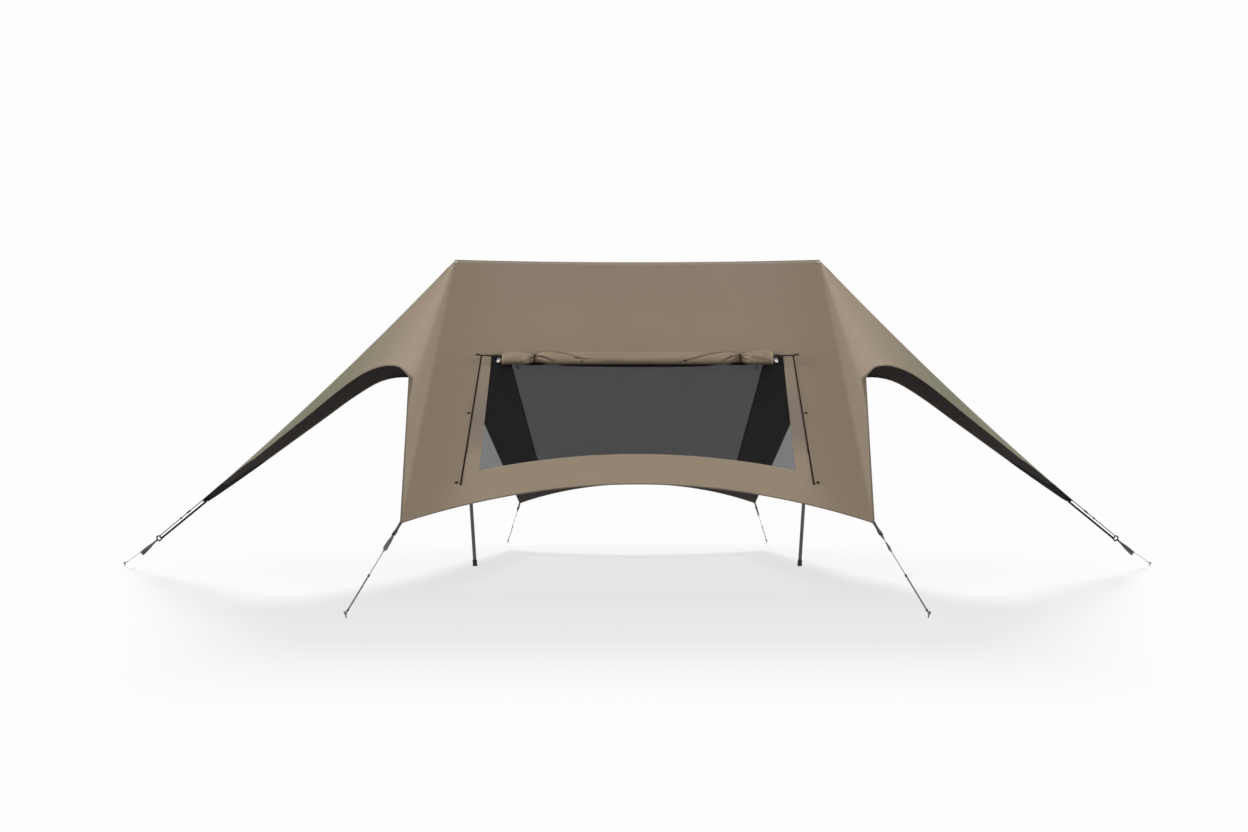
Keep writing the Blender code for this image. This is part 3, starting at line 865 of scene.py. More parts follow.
def coating_finish():
    """The inner face: the same weave under a dark coating that shines unevenly."""
    made, tree, shader = new_material("dark_coating")
    place = cloth_place(tree)
    weave = use_group(WEAVE, place, Threads=CANVAS_THREADS)["Height"]
    cloud = noise(place, 5.0, 4.0)
    colour = scaled_colour((0.0200, 0.0165, 0.0145), cloud.spread(0.85, 1.15))
    set_shader(shader, weave, 0.00005, 0.5, Base_Color=colour, Roughness=cloud.spread(0.62, 0.76),
               Specular_IOR_Level=0.15)
    return made


def tape_finish(name, colour, specular=0.25, rows=()):
    """Woven tape with rows of stitches; each row is the distance round the tape's outline."""
    made, tree, shader = new_material(name)
    place = cloth_place(tree)
    height = use_group(RIB, place, Rib=0.0009, Yarn=0.0007)["Height"]
    # Painted shade between the ribs: the tape is darker where its rib height is low.
    tint = scaled_colour(colour, height * 0.35 + 0.75)
    for row in rows:
        mask = use_group(STITCH, place, Row=row)["Mask"]
        tint = blended(mask, tint, [c * 1.7 + 0.02 for c in colour])
        height = mask * 1.5 + height
    set_shader(shader, height, 0.00015, 0.7, Base_Color=tint, Roughness=0.82, Specular_IOR_Level=specular)
    return made


def webbing_finish(name, colour, specular=0.3):
    """Ribbed webbing with painted shade between its ribs, a little lighter where it is worn."""
    made, tree, shader = new_material(name)
    place = cloth_place(tree)
    rib, wear = use_group(RIB, place)["Height"], noise(place, 60.0, 3.0)
    tint = scaled_colour(colour, (rib * 0.55 + 0.60) * wear.spread(0.9, 1.1))
    set_shader(shader, rib, 0.00035, 0.8, Base_Color=tint, Roughness=0.78, Specular_IOR_Level=specular)
    return made


def cord_finish(name, colour):
    """Braided cord with painted shade between its strands, in which every fourth strand is darker."""
    made, tree, shader = new_material(name)
    braid = use_group(BRAID, cloth_place(tree))
    fleck = (braid["Strand Number"] * 0.25).math("FRACT").step(0.7, 0.72, 1.0, 0.55)
    tint = scaled_colour(colour, (braid["Height"] * 0.5 + 0.6) * fleck)
    set_shader(shader, braid["Height"], 0.0003, 0.8, Base_Color=tint, Roughness=0.7, Specular_IOR_Level=0.35)
    return made


def net_finish(name, share, colour):
    """Black net: its threads let less light through than its holes, and the two together let a share through."""
    made, tree, shader = new_material(name)
    mask = use_group(NET, cloth_place(tree), Cell=NET_CELL, Thread=NET_THREAD)["Mask"]
    on_threads = 1 - (1 - NET_THREAD) ** 2
    give(mask * NET_CONTRAST + (1 - share - NET_CONTRAST * on_threads), shader.inputs["Alpha"])
    give(scaled_colour(colour, mask * 0.3 + 0.85), shader.inputs["Base Color"])
    give(0.8, shader.inputs["Roughness"])
    give(0.1, shader.inputs["Specular IOR Level"])
    return made


def hard_finish(name, colour, roughness, metallic=0.0, scale=900.0, grain=0.00004, uneven=0.10, specular=0.5):
    """Plastic, rubber, paint or metal: a fine grain, with shade and roughness that vary a little."""
    made, tree, shader = new_material(name)
    place = object_place(tree)
    shade = noise(place, 35.0, 4.0).spread(1 - uneven, 1 + uneven)
    set_shader(shader, noise(place, scale), grain, 0.6, Base_Color=scaled_colour(colour, shade),
               Roughness=shade * roughness, Metallic=metallic, Specular_IOR_Level=specular)
    return made


canvas, coating = canvas_finish(), coating_finish()
tape = tape_finish("binding_tape", (0.150, 0.120, 0.090), rows=(0.0036, 0.0218))
zip_tape = tape_finish("zip_tape", (0.016, 0.011, 0.006), 0.08)
elastic = tape_finish("elastic_band", (0.030, 0.021, 0.013), 0.08)
webbing_black = webbing_finish("black_webbing", (0.006, 0.006, 0.006), 0.15)
webbing_grey = webbing_finish("grey_webbing", (0.105, 0.104, 0.100))
webbing_dark = webbing_finish("dark_webbing", (0.060, 0.060, 0.060))
cord_pale = cord_finish("pale_cord", (0.25, 0.245, 0.235))
cord_grey = cord_finish("grey_cord", (0.100, 0.099, 0.096))
cord_dark = cord_finish("dark_cord", (0.035, 0.035, 0.036))
front_net = net_finish("front_net", 0.434, (0.0075, 0.0075, 0.0078))
rear_net = net_finish("rear_net", 0.55, (0.0075, 0.0075, 0.0078))
nylon = hard_finish("moulded_nylon", (0.008, 0.008, 0.008), 0.45, specular=0.2)
brown_nylon = hard_finish("brown_nylon", (0.016, 0.010, 0.006), 0.50, specular=0.15)
coil_nylon = hard_finish("zip_coil", (0.020, 0.013, 0.007), 0.45, specular=0.2)
rubber = hard_finish("foot_rubber", (0.013, 0.013, 0.013), 0.86, grain=0.0001, uneven=0.2)
steel = hard_finish("peg_steel", (0.20, 0.20, 0.205), 0.45, 0.9, uneven=0.15)
pull_metal = hard_finish("pull_metal", (0.72, 0.71, 0.69), 0.24, 1.0)
pole_paint = hard_finish("pole_paint", (0.061, 0.061, 0.062), 0.46, 0.2, scale=500.0, grain=0.00003, uneven=0.06)

# Painted light and shade on the canvas: painted shade towards the soft crease, a painted tint past it,
# and painted shade that deepens along the wings.
CREASE_PAINTED_SHADE = [0.13, 0.13, 0.17]
OUTER_PAINTED_TINT = np.array([1.0, 1.03, 1.05])
WING_PAINTED_SHADE = [0.46, 0.34, 0.38]


def paint(obj, tone):
    """Writes the tone, one colour for each point of the piece or one for all."""
    layer = obj.data.color_attributes.new("tone", "FLOAT_COLOR", "POINT")
    values = np.ones((len(obj.data.vertices), 4), np.float32)
    values[:, :3] = tone
    layer.data.foreach_set("color", values.ravel())


def point_array(obj):
    """The points of a piece's mesh, (n, 3)."""
    flat = np.empty(len(obj.data.vertices) * 3, np.float32)
    obj.data.vertices.foreach_get("co", flat)
    return flat.reshape(-1, 3).astype(float)


def step_up(value, low, high):
    """A smooth step from 0 at low to 1 at high."""
    t = np.clip((value - low) / (high - low), 0, 1)
    return t * t * (3 - 2 * t)


def canvas_painted_tone(points):
    """Painted light and shade of the cloth by its place, from the same creases, frames and wings as its shape."""
    x, s = np.abs(points[:, 0]), np.abs(points[:, 1]) / CORNER_Y
    out = x - crease_x(np.minimum(s, 1))
    past = step_up(out, -0.012, 0.012)
    near = np.exp(-((np.minimum(out, 0) / 0.30) ** 2))
    top_x, taper, top, foot = np.where(points[:, 1:2] < 0, ZIPS[FRONT], ZIPS[REAR]).T
    soft = 0.002 + 0.16 * step_up(s, foot - 0.04, foot + 0.03)
    frame = step_up(top_x - taper * (s - top) - x, -soft, soft) * step_up(s, top - 0.002, top + 0.002)
    sill = frame * step_up(s, 0.72, 0.82)
    wing = step_up(x, 1.38, 2.3) * past
    main = 1 - near[:, None] * CREASE_PAINTED_SHADE * (1 - frame)[:, None]
    # Painted shade lower on the slope, and painted light on the frame round the window and on the sill.
    main = main * (1 - 0.07 * step_up(s, 0.30, 0.65) * (1 - frame))[:, None]
    main = main * (1 - 0.05 * frame + 0.14 * sill)[:, None] * (1 + frame[:, None] * [0.0, 0.02, 0.02])
    outer = OUTER_PAINTED_TINT * (1 - wing[:, None] * WING_PAINTED_SHADE)
    return main * (1 - past[:, None]) + outer * past[:, None]


canopy = finish_piece(make_canopy([canvas, coating]), "canvas", *CANVAS_NODES)
paint(canopy, canvas_painted_tone(point_array(canopy)))
show(canopy)

# %% [markdown]
# ## Profiles carried along a path
#
# Bindings, webbing, cords, bars and tubes are all the same idea: a closed outline carried along a path. One helper
# does this for any of them. The outline may change on the way, which gives tapers and twists, and several carried
# shapes can be joined into one piece, as a buckle is moulded from its bars.

# %% Carried profiles
BAR_SOFT = 0.25


def unit(vectors):
    """Vectors at unit length."""
    return vectors / np.maximum(np.linalg.norm(vectors, axis=-1, keepdims=True), 1e-12)


def square_to(ahead, way):
    """The part of a direction that is square to a line, at unit length."""
    return unit(way - ahead * (way * ahead).sum(-1, keepdims=True))


def carried(path, side, up, outline):
    """Points (path, outline, 3): each outline point a, b lies at path + side * a + up * b."""
    outline = np.broadcast_to(outline, (len(path),) + np.shape(outline)[-2:])
    return path[:, None] + side[:, None] * outline[..., :1] + up[:, None] * outline[..., 1:]


def rounded_outline(width, thickness, count=16, power=4.0):
    """A flat section with round edges: a superellipse, which is nearer to a rectangle as power grows."""
    t = np.linspace(0, 2 * np.pi, count + 1)[:-1]
    c, s = np.cos(t), np.sin(t)
    radius = (np.abs(c) ** power + np.abs(s) ** power) ** (-1 / power)
    half_width, half_thickness = (np.asarray(size)[..., None] / 2 for size in (width, thickness))
    return np.stack([half_width * radius * c, half_thickness * radius * s], axis=-1)


def disc(width, count=12):
    """A round outline, or one for each place where width is an array."""
    return rounded_outline(width, width, count, 2.0)


def full_turn(count):
    """Angles once round, as a column."""
    return np.linspace(0, 2 * np.pi, count + 1)[:-1, None]


def turned(outline, degrees):
    """An outline turned about its middle; degrees may hold one angle for each place on the path."""
    c, s = np.cos(np.radians(degrees))[..., None], np.sin(np.radians(degrees))[..., None]
    a, b = outline[..., 0], outline[..., 1]
    return np.stack([a * c - b * s, a * s + b * c], axis=-1)


def run_uv(path, outline):
    """UV in metres: u along the path, v round its first outline, with the seam's column repeated."""
    first = outline if outline.ndim == 2 else outline[0]
    u, v = np.meshgrid(travelled(path), travelled(np.vstack([first, first[:1]])), indexing="ij")
    return np.stack([u, v], axis=-1)


def joined(name, grids, materials):
    """Several tubes as one mesh, with their faces outwards. A grid is (points, uv, closed), and its columns wrap.

    A closed grid runs back into its first row; any other gets a flat face at each end.
    """
    all_points, all_faces, all_uv, start = [], [], [], 0
    for points, uv, closed in grids:
        rows, columns = points.shape[:2]
        i, j = cell_corners(rows, columns, closed, True)
        cells = i % rows * columns + j % columns + start
        first, last = np.arange(columns) + start, np.arange(columns) + start + (rows - 1) * columns
        ring = points - points.mean(1, keepdims=True)
        spin = np.cross(ring[:, 0], ring[:, 1]) * np.gradient(points.mean(1), axis=0)
        cell_uv = uv[i, j]
        if spin[1:-1].sum() > 0:
            cells, cell_uv, first = cells[:, ::-1], cell_uv[:, ::-1], first[::-1]
        else:
            last = last[::-1]
        all_faces += cells.tolist() + ([] if closed else [first.tolist(), last.tolist()])
        all_uv += [cell_uv.reshape(-1, 2)] + ([] if closed else [np.zeros((2 * columns, 2))])
        all_points.append(points.reshape(-1, 3))
        start += rows * columns
    return put_in_scene(name, np.vstack(all_points), all_faces, np.vstack(all_uv), materials)


def make_piece(name, grids, finish, slot, *nodes):
    """Tubes joined into one piece, with its finish and the nodes that it replaces."""
    return finish_piece(joined(name, grids, [finish]), slot, *nodes)


def tube(path, side, up, outline):
    """One carried outline with its UV, ready for joined()."""
    return carried(path, side, up, outline), run_uv(path, outline), False


def ring_tube(path, side, up, outline):
    """An outline carried round a closed path, whose last point is not its first one again."""
    return carried(path, side, up, outline), run_uv(np.vstack([path, path[:1]]), outline), True


def level_frame(path):
    """For each place on a path: the level direction across it, and the direction square to both."""
    ahead = unit(np.gradient(path, axis=0))
    side = unit(np.cross(ahead, [0.0, 0.0, 1.0]))
    return side, np.cross(side, ahead)


def plane_frame(path, square):
    """The frame of a path that lies in a plane: square to the plane, and square to the path in the plane."""
    side = np.broadcast_to(np.asarray(square, float), path.shape)
    return side, unit(np.cross(side, np.gradient(path, axis=0)))


def bar(start, end, width, thickness, up, count=12, power=4.0):
    """A straight moulded bar with rounded ends: its outline shrinks to a small face over the last bit of it."""
    start, end, up = (np.asarray(p, float) for p in (start, end, up))
    length = np.linalg.norm(end - start)
    ahead = (end - start) / length
    lip = min(BAR_SOFT * min(width, thickness), length / 3)
    t = np.array([0, 0.3, 1, 1, 0.3, 0])
    reach = np.array([0, 0.3, 1, 0, 0, 0]) * lip
    reach[3:] = length - np.array([1, 0.3, 0]) * lip
    size = 1 - BAR_SOFT * (1 - np.sin(t * np.pi / 2))
    path = start + ahead * reach[:, None]
    side = np.repeat(unit(np.cross(ahead, up))[None], len(path), 0)
    square = np.cross(side, ahead)
    return tube(path, side, square, rounded_outline(width * size, thickness * size, count, power))


# %% [markdown]
# ## Bound edges
#
# Every free edge of the canopy is folded into a narrow woven tape and stitched. A tape drawn on the cloth with a
# material would have no edge of its own, so it is real here: a flat rounded outline that swallows the canvas's edge.

# %% Bindings
TAPE_WIDTH = 0.008
TAPE_THICK = 0.0030
TAPE_OVERHANG = 0.0012
MIRROR = np.array([-1, 1, 1])


def binding(name, path, inward):
    """Tape along an edge: its outline spans from just outside the edge to TAPE_WIDTH inside it."""
    ahead = unit(np.gradient(path, axis=0))
    inward = square_to(ahead, inward)
    normal = unit(np.cross(inward, ahead))
    normal = normal * np.where(normal[:, 2:] < 0, -1, 1)
    middle = path + inward * (TAPE_WIDTH / 2 - TAPE_OVERHANG) - normal * CANVAS_THICK / 2
    outline = rounded_outline(TAPE_WIDTH, TAPE_THICK, 10, 5.0)
    return make_piece(name, [tube(middle, inward, normal, outline)], tape, "canvas")


def mirrored_line(values):
    """The left half of a line, reversed, and its right half, which share the middle point."""
    return np.vstack([(values * MIRROR)[:0:-1], values])


for side, end in ENDS:
    half = QUARTERS[side] * [1, side, 1]
    edge, inward = half[-1], half[-2] - half[-1]
    hem, wing_part = slice(0, CREASE_COLUMN + 1), slice(CREASE_COLUMN, None)
    binding(f"{end}_hem_tape", mirrored_line(edge[hem]), mirrored_line(inward[hem]))
    for hand, word in HANDS:
        flip = np.array([hand, 1, 1])
        binding(f"{end}_{word}_edge_tape", edge[wing_part] * flip, inward[wing_part] * flip)
print("bindings: 2 hems and 4 side edges")

# %% [markdown]
# ## Ridge seams
#
# The two halves of each wing, and the front and rear of the roof, meet in a flat felled seam: the edges are folded
# over each other and stitched down twice. It stands a millimetre proud of the cloth on both slopes.

# %% Ridge seams
SEAM_WIDTH = 0.009
SEAM_THICK = 0.0011


def ridge_seam(name, path, front_way, rear_way):
    """A strip that bends over a ridge: front_way and rear_way are the directions down the two slopes."""
    up = unit(-(front_way + rear_way))
    across = np.array([-1.0, -0.94, -0.5, 0.0, 0.5, 0.94, 1.0])
    height = np.array([0.2, 1.0, 1.0, 1.15, 1.0, 1.0, 0.2])
    reach = np.abs(across)[None, :, None] * SEAM_WIDTH
    way = np.where(across[None, :, None] < 0, front_way[:, None], rear_way[:, None])
    outer = path[:, None] + way * reach + up[:, None] * height[None, :, None] * SEAM_THICK
    inner = path[:, None] + way * reach - up[:, None] * CANVAS_THICK * 0.5
    points = np.concatenate([outer, inner[:, ::-1]], axis=1)
    around = np.linspace(0, 2 * SEAM_WIDTH, points.shape[1] + 1)
    uv = np.stack(np.meshgrid(travelled(path), around, indexing="ij"), axis=-1)
    seam = joined(name, [(points, uv, False)], [canvas])
    # The seam takes the canvas's painted light and shade, a tenth darker.
    paint(seam, canvas_painted_tone(point_array(seam)) * 0.9)
    return finish_piece(seam, "canvas")


def seam_ways(ridge, front_near, rear_near):
    """The directions down the two slopes beside a ridge, from the grid's next lines."""
    ahead = unit(np.gradient(ridge, axis=0))
    return [square_to(ahead, near - ridge) for near in (front_near, rear_near)]


top, *below = (
    mirrored_line((QUARTERS[side] * [1, side, 1])[row, : CREASE_COLUMN + 1])
    for side, row in ((FRONT, 0), (FRONT, 1), (REAR, 1)))
ridge_seam("ridge_seam", top, *seam_ways(top, *below))
for hand, word in HANDS:
    ridge = (QUARTERS[FRONT][:, -1] * [hand, 1, 1])[2:]
    near = [(QUARTERS[side][:, -2] * [hand, side, 1])[2:] for side in (FRONT, REAR)]
    ridge_seam(f"{word}_wing_seam", ridge, *seam_ways(ridge, *near))
print("seams: ridge and 2 wings")

# %% [markdown]
# ## Wing tip patches
#
# A wing tip takes the whole pull of its guy, so a strong black web is sewn round the last part of its free edges;
# its black also stands in for the shade in the wing's fold near the tip, a dark sheet as painted shade. It could be a
# dark patch in the cloth's tone, but the web is thicker than the cloth and has an edge of its own. Here it is a strip
# of the canopy's own grid, sampled between its points, and thick enough to lie on both faces.

# %% Wing tip patches
PATCH_FROM = 2.72
PATCH_SHARE = 0.070
PATCH_OVER = 0.003
PATCH_THICK = 0.0046


def grid_at(grid, row, column):
    """Points of a grid at fractional rows and columns, straight between its own points."""
    i = np.clip(np.floor(row).astype(int), 0, grid.shape[0] - 2)
    j = np.clip(np.floor(column).astype(int), 0, grid.shape[1] - 2)
    a, b = (row - i)[..., None], (column - j)[..., None]
    near = grid[i, j] * (1 - a) + grid[i + 1, j] * a
    far = grid[i, j + 1] * (1 - a) + grid[i + 1, j + 1] * a
    return near * (1 - b) + far * b


def wing_patch(name, hand, side):
    """The strip of the rays from r = 1 - w to 1, where t runs from 0 to 1 at the tip.

    w = PATCH_SHARE sin(pi / 2 min(1, 1.6 t))
    """
    grid = QUARTERS[side]
    row, column = grid.shape[0] - 1, grid.shape[1] - 1
    wing = np.arange(column - WING_COLUMNS, column + 1)
    first = np.interp(PATCH_FROM, grid[-1, wing, 0], wing)
    t, v = np.meshgrid(np.linspace(0, 1, 41), np.linspace(1, 0, 9))
    r = 1 + PATCH_OVER - (PATCH_OVER + PATCH_SHARE * np.sin(np.pi / 2 * np.minimum(1, 1.6 * t))) * v
    points = grid_at(grid, r * row, first + (column - first) * t) - [0, 0, CANVAS_THICK / 2]
    uv = np.stack([points[..., 0], r * np.linalg.norm(grid[-1, -1] - grid[0, -1])], axis=-1)
    made = surface(name, points * [hand, side, 1], uv, [webbing_black], flip=hand * side > 0)
    return finish_piece(thicken(made, PATCH_THICK, offset=0), "black_webbing")


# Black web at each tip, whose black also stands as painted shade in the wing's fold.
for side, end in ENDS:
    for hand, word in HANDS:
        wing_patch(f"{end}_{word}_wing_patch", hand, side)
print("wing tip patches: 4")

# %% [markdown]
# ## Mesh windows
#
# Behind each opening the insect mesh is sewn to the inner face, so it is a little larger than the opening and lies
# two millimetres deeper. Weaving millions of threads as geometry would be far too heavy, so the sheet is plain and
# its finish lets part of the light through.

# %% Mesh windows
MESH_HEM = 0.012
MESH_DEPTH = 0.0022
MESH_THICK = 0.0004


def roof_patch(x_low, x_high, s_low, s_high, side, columns, rows, depth=0.0):
    """Roof points between two lines x(s) and two lines s(x), sunk by depth, with UV in metres."""
    u, v = np.meshgrid(np.linspace(0, 1, columns), np.linspace(0, 1, rows))
    x, s = np.zeros_like(u), np.full_like(u, 0.5)
    for _ in range(SETTLE_ROUNDS):
        x = x_low(s) + (x_high(s) - x_low(s)) * u
        s = s_low(x) + (s_high(x) - s_low(x)) * v
    place, _, _, out = roof_frame(x, s, side)
    return place - out * depth, np.stack([x, s * SLOPE_LENGTH], axis=-1)


def window_mesh(name, side, finish):
    """The net of one window, larger than its opening by a hem on every side."""
    more = MESH_HEM / SLOPE_LENGTH
    points, uv = roof_patch(
        lambda s: -window_x(s, side) - MESH_HEM, lambda s: window_x(s, side) + MESH_HEM,
        lambda x: window_top_s(x, side) - more, lambda x: window_foot_s(x, side) + more,
        side, 61, 41, MESH_DEPTH,
    )
    return thicken(surface(name, points, uv, [finish], flip=side > 0), MESH_THICK)


for (side, end), net in zip(ENDS, (front_net, rear_net)):
    show(finish_piece(window_mesh(f"{end}_net", side, net), "window_mesh", f"{end}_window_mesh"))

# %% [markdown]
# ## Rolled flaps
#
# Each window's storm flap is rolled up and tied over the window. A plain cylinder would have ends like a log, so
# this is the real sheet: it leaves the panel, runs over the front of the roll and then winds inwards for as many
# turns as the flap is long. Where the ties draw it in, the cloth has to go somewhere: it stands up beside them and
# breaks into a few folds, each drawn as a line in x and in the angle round the roll.

# %% Rolled flaps
LAID_GAP = 0.0006
FLAP_THICK = 0.0010
TIE_X, ROLL_END = 0.620, 0.807
ROLL_FLAT, ROLL_LONG = 0.88, 1.04
ROLL_TURNS = 9.4
ROLL_CORE = 0.11
LEAD_ROWS, OUTER_ROWS, INNER_ROWS = 24, 88, 20
STATION_COUNT = 131

# The sheet's lead is shorter at a tie, leaves for the roll at a larger angle there, and is pulled up by the tie.
LEAD_LENGTH, LEAD_SHORTER = 0.155, 0.085
LEAVE_ANGLE, LEAVE_MORE = 118, 54
TIE_PULL = 0.022

# A tie starts at a row of the lead, faces out at one angle round the roll, and ends at another.
TIE_FROM_ROW, TIE_FRONT, TIE_UNTIL = 10, 127, 250
TIE_WIDTH, TIE_THICK, TIE_LIFT = 0.010, 0.0016, 0.0022

# The line of the roll: its s, how much lower it lies at its ends, and how much it is stretched along x.
ROLL_PLACE = {FRONT: (0.4715, 0.010, 1.0), REAR: (0.348, 0.0, 1.145)}

# Radius of the roll at x.
ROLL_RADIUS = [
    (-0.822, 0.0330), (-0.79, 0.0400), (-0.74, 0.0430), (-0.69, 0.0420), (-0.655, 0.0360), (-0.635, 0.0260),
    (-0.612, 0.0245), (-0.59, 0.0370), (-0.545, 0.0445), (-0.50, 0.0445), (-0.40, 0.0420), (-0.20, 0.0410),
    (0.0, 0.0395), (0.10, 0.0395), (0.25, 0.0415), (0.40, 0.0430), (0.50, 0.0430), (0.57, 0.0400),
    (0.598, 0.0310), (0.612, 0.0250), (0.632, 0.0260), (0.655, 0.0390), (0.70, 0.0455), (0.757, 0.0500),
    (0.79, 0.0480), (0.822, 0.0400),
]

# Each fold: its depth as a share of the radius, its width in metres, and its line as x and degrees round the roll.
FOLDS = [
    (-0.30, 0.0054, [(-0.612, 104), (-0.58, 110), (-0.548, 112), (-0.50, 104), (-0.44, 88), (-0.385, 60),
                     (-0.335, 28)]),
    (-0.42, 0.0054, [(-0.612, 66), (-0.58, 46), (-0.54, 26), (-0.515, 12), (-0.49, -6)]),
    (-0.28, 0.0044, [(-0.612, 10), (-0.585, -8), (-0.55, -26)]),
    (-0.28, 0.0050, [(-0.634, 62), (-0.668, 50)]), (-0.30, 0.0050, [(-0.634, 34), (-0.668, 22)]),
    (-0.14, 0.0060, [(-0.640, 8), (-0.70, -12), (-0.75, -20)]),
    (-0.20, 0.0060, [(-0.375, 42), (-0.325, 30), (-0.28, 26)]), (-0.42, 0.0054, [(-0.335, 2), (-0.322, -6)]),
    (-0.05, 0.0130, [(-0.30, 62), (-0.10, 70), (0.10, 64)]), (-0.06, 0.0100, [(-0.20, 4), (0.02, -4), (0.20, 6)]),
    (-0.32, 0.0054, [(0.612, 100), (0.575, 108), (0.540, 112), (0.49, 98), (0.44, 82), (0.395, 60), (0.355, 40),
                     (0.312, 18), (0.235, -8)]),
    (-0.40, 0.0054, [(0.610, 72), (0.566, 46), (0.530, 20), (0.50, -8)]),
    (-0.36, 0.0048, [(0.611, 36), (0.585, 16), (0.55, -14)]), (-0.28, 0.0042, [(0.611, 8), (0.585, -18)]),
    (-0.28, 0.0050, [(0.630, 74), (0.670, 62)]), (-0.34, 0.0050, [(0.630, 46), (0.648, 24), (0.672, 14)]),
    (-0.28, 0.0046, [(0.630, 8), (0.656, -14)]), (-0.42, 0.0056, [(0.287, 8), (0.300, -6)]),
    (-0.12, 0.0090, [(0.690, 40), (0.74, 20), (0.79, 4)]), (-0.10, 0.0080, [(0.755, 70), (0.80, 50)]),
]
FOLD_RADIUS = 0.040
FOLD_LIMIT = 0.45

# Painted shade and highlight of the cloth at each number of degrees round the roll, with 90 facing out of the roof.
TURN_PAINTED_SHADING = [
    (-180, 0.22), (-60, 0.26), (-24, 0.36), (-10, 0.64), (6, 0.90), (24, 1.03), (45, 1.12), (75, 1.15), (120, 1.03),
]


def roll_radius(x):
    """Radius along the roll: straight between the knots, then smoothed over 20 mm."""
    fine = np.linspace(-0.85, 0.85, 1701)
    raw = np.interp(fine, *np.array(ROLL_RADIUS).T)
    return np.interp(x, fine, running_mean(raw[:, None], 18)[:, 0])


def near_tie(x, inwards=0.095, outwards=0.050):
    """1 at a tie, falling off over one distance towards the roll's end and another towards its middle."""
    off = np.abs(x) - TIE_X
    return np.exp(-((off / np.where(off > 0, outwards, inwards)) ** 2))


def folded(x, theta):
    """Change of the radius by the folds, as a fraction: rounded grooves, each of which fades along its line."""
    turn = (theta + np.pi) % (2 * np.pi) - np.pi
    total = np.zeros(np.broadcast_shapes(x.shape, theta.shape))
    for depth, width, line in FOLDS:
        knots = np.array([(place, np.radians(degrees) * FOLD_RADIUS) for place, degrees in line])
        reach = travelled(knots)
        groove = np.zeros_like(total)
        for k, step in enumerate(np.diff(knots, axis=0)):
            px, pa = x - knots[k, 0], turn * FOLD_RADIUS - knots[k, 1]
            t = np.clip((px * step[0] + pa * step[1]) / (step @ step), 0, 1)
            away = np.hypot(px - t * step[0], pa - t * step[1])
            left = 1 - (reach[k] + t * (reach[k + 1] - reach[k])) / reach[-1]
            groove = np.maximum(groove, np.exp(-((away / width) ** 2)) * (0.12 + 0.88 * left**0.6))
        total = total + depth * groove
    return FOLD_LIMIT * np.tanh(1.2 * total / FOLD_LIMIT)


def flap_section(x, folds=True):
    """Down the slope (p), out of the roof (q), the angle round the roll and the groove, each (rows, stations).

    The sheet's rows are its lead from the panel, one closely spaced outer turn with the folds, and the inner turns.
    The lead is a cubic curve from the panel to the roll.
    """
    radius = roll_radius(x)
    a, b = radius * ROLL_LONG, radius * ROLL_FLAT
    near = near_tie(x)
    leave = np.radians(LEAVE_ANGLE + LEAVE_MORE * near)
    inner = round((ROLL_TURNS - 1) * INNER_ROWS)
    turns = np.concatenate([np.linspace(0, 1, OUTER_ROWS + 1), np.linspace(1, ROLL_TURNS, inner + 1)[1:]])
    phi = turns[:, None] * 2 * np.pi
    theta = leave - phi
    groove = folded(x, theta[: OUTER_ROWS + 1]) * folds
    under = np.convolve(np.pad(groove.min(0), 3, mode="edge"), np.full(7, 1 / 7), "valid")
    groove = np.vstack([groove, np.broadcast_to(under, (inner, x.size))])
    size = (1 - (1 - ROLL_CORE) * phi / phi[-1]) * (1 + groove)
    p = a * size * np.cos(theta) - TIE_PULL * near_tie(x, 0.075, 0.030)
    q = b * (1 + size * np.sin(theta)) + LAID_GAP

    lead = LEAD_LENGTH - LEAD_SHORTER * near
    heading = unit(np.stack([a * np.sin(leave), -b * np.cos(leave)], axis=-1))
    reach = 0.050 * (1 - near) + 0.8 * b * near
    p0, p3 = np.stack([-lead, np.full_like(lead, -0.0004)], -1), np.stack([p[0], q[0]], -1)
    p1, p2 = p0 + np.stack([lead * 0.4, np.zeros_like(lead)], -1), p3 - heading * reach[..., None]
    t = np.linspace(0, 1, LEAD_ROWS + 1)[:-1, None, None]
    curve = p0 * (1 - t) ** 3 + 3 * p1 * t * (1 - t) ** 2 + 3 * p2 * t**2 * (1 - t) + p3 * t**3
    level = np.zeros(curve.shape[:2])
    return (np.vstack([curve[..., 0], p]), np.vstack([curve[..., 1], q]), np.vstack([level + leave, theta]),
            np.vstack([level, groove]))


def on_roof(x, p, q, side):
    """Points at p down the slope from the roll's line, and q out of the cloth."""
    place_s, drop, stretch = ROLL_PLACE[side]
    s = place_s + drop * (x / ROLL_END) ** 2 + p / SLOPE_LENGTH
    place, _, _, out = roof_frame(x * stretch, s, side)
    return place + out * q[..., None]


def roll_stations():
    """Stations along the roll, closer together beside the ties and the tucks. There are 4 m + 1 of them."""
    fine = np.linspace(0, ROLL_END, 800)
    density = 1 + 2.8 * np.exp(-(((fine - 0.61) / 0.075) ** 2)) + 1.4 * np.exp(-(((fine - 0.32) / 0.045) ** 2))
    reach = np.cumsum(density) - density[0]
    half = np.interp(np.linspace(0, 1, STATION_COUNT), reach / reach[-1], fine)
    return np.concatenate([-half[:0:-1], half])


def roll_painted_shading(x, theta, groove, rows):
    """Painted light and shade of the roll's cloth: full on top, a painted highlight on each fold's upper face, and
    painted shade below, in the grooves and in the gap beside the ties.
    """
    tone = np.interp(np.degrees(theta), *np.array(TURN_PAINTED_SHADING).T) * (1 - 0.80 * np.clip(-groove / 0.34, 0, 1) ** 1.1)
    turning = np.minimum(np.gradient(theta, axis=0), -0.01)
    face = np.where(rows > LEAD_ROWS, np.clip(np.gradient(groove, axis=0) / turning, -1.5, 1.5), 0)
    gap = step_up(np.degrees(theta), 108, 128) * near_tie(x, 0.070, 0.055) * (rows >= LEAD_ROWS * 0.72)
    return tone * (1 - 0.12 * face) * (1 - 0.60 * gap)


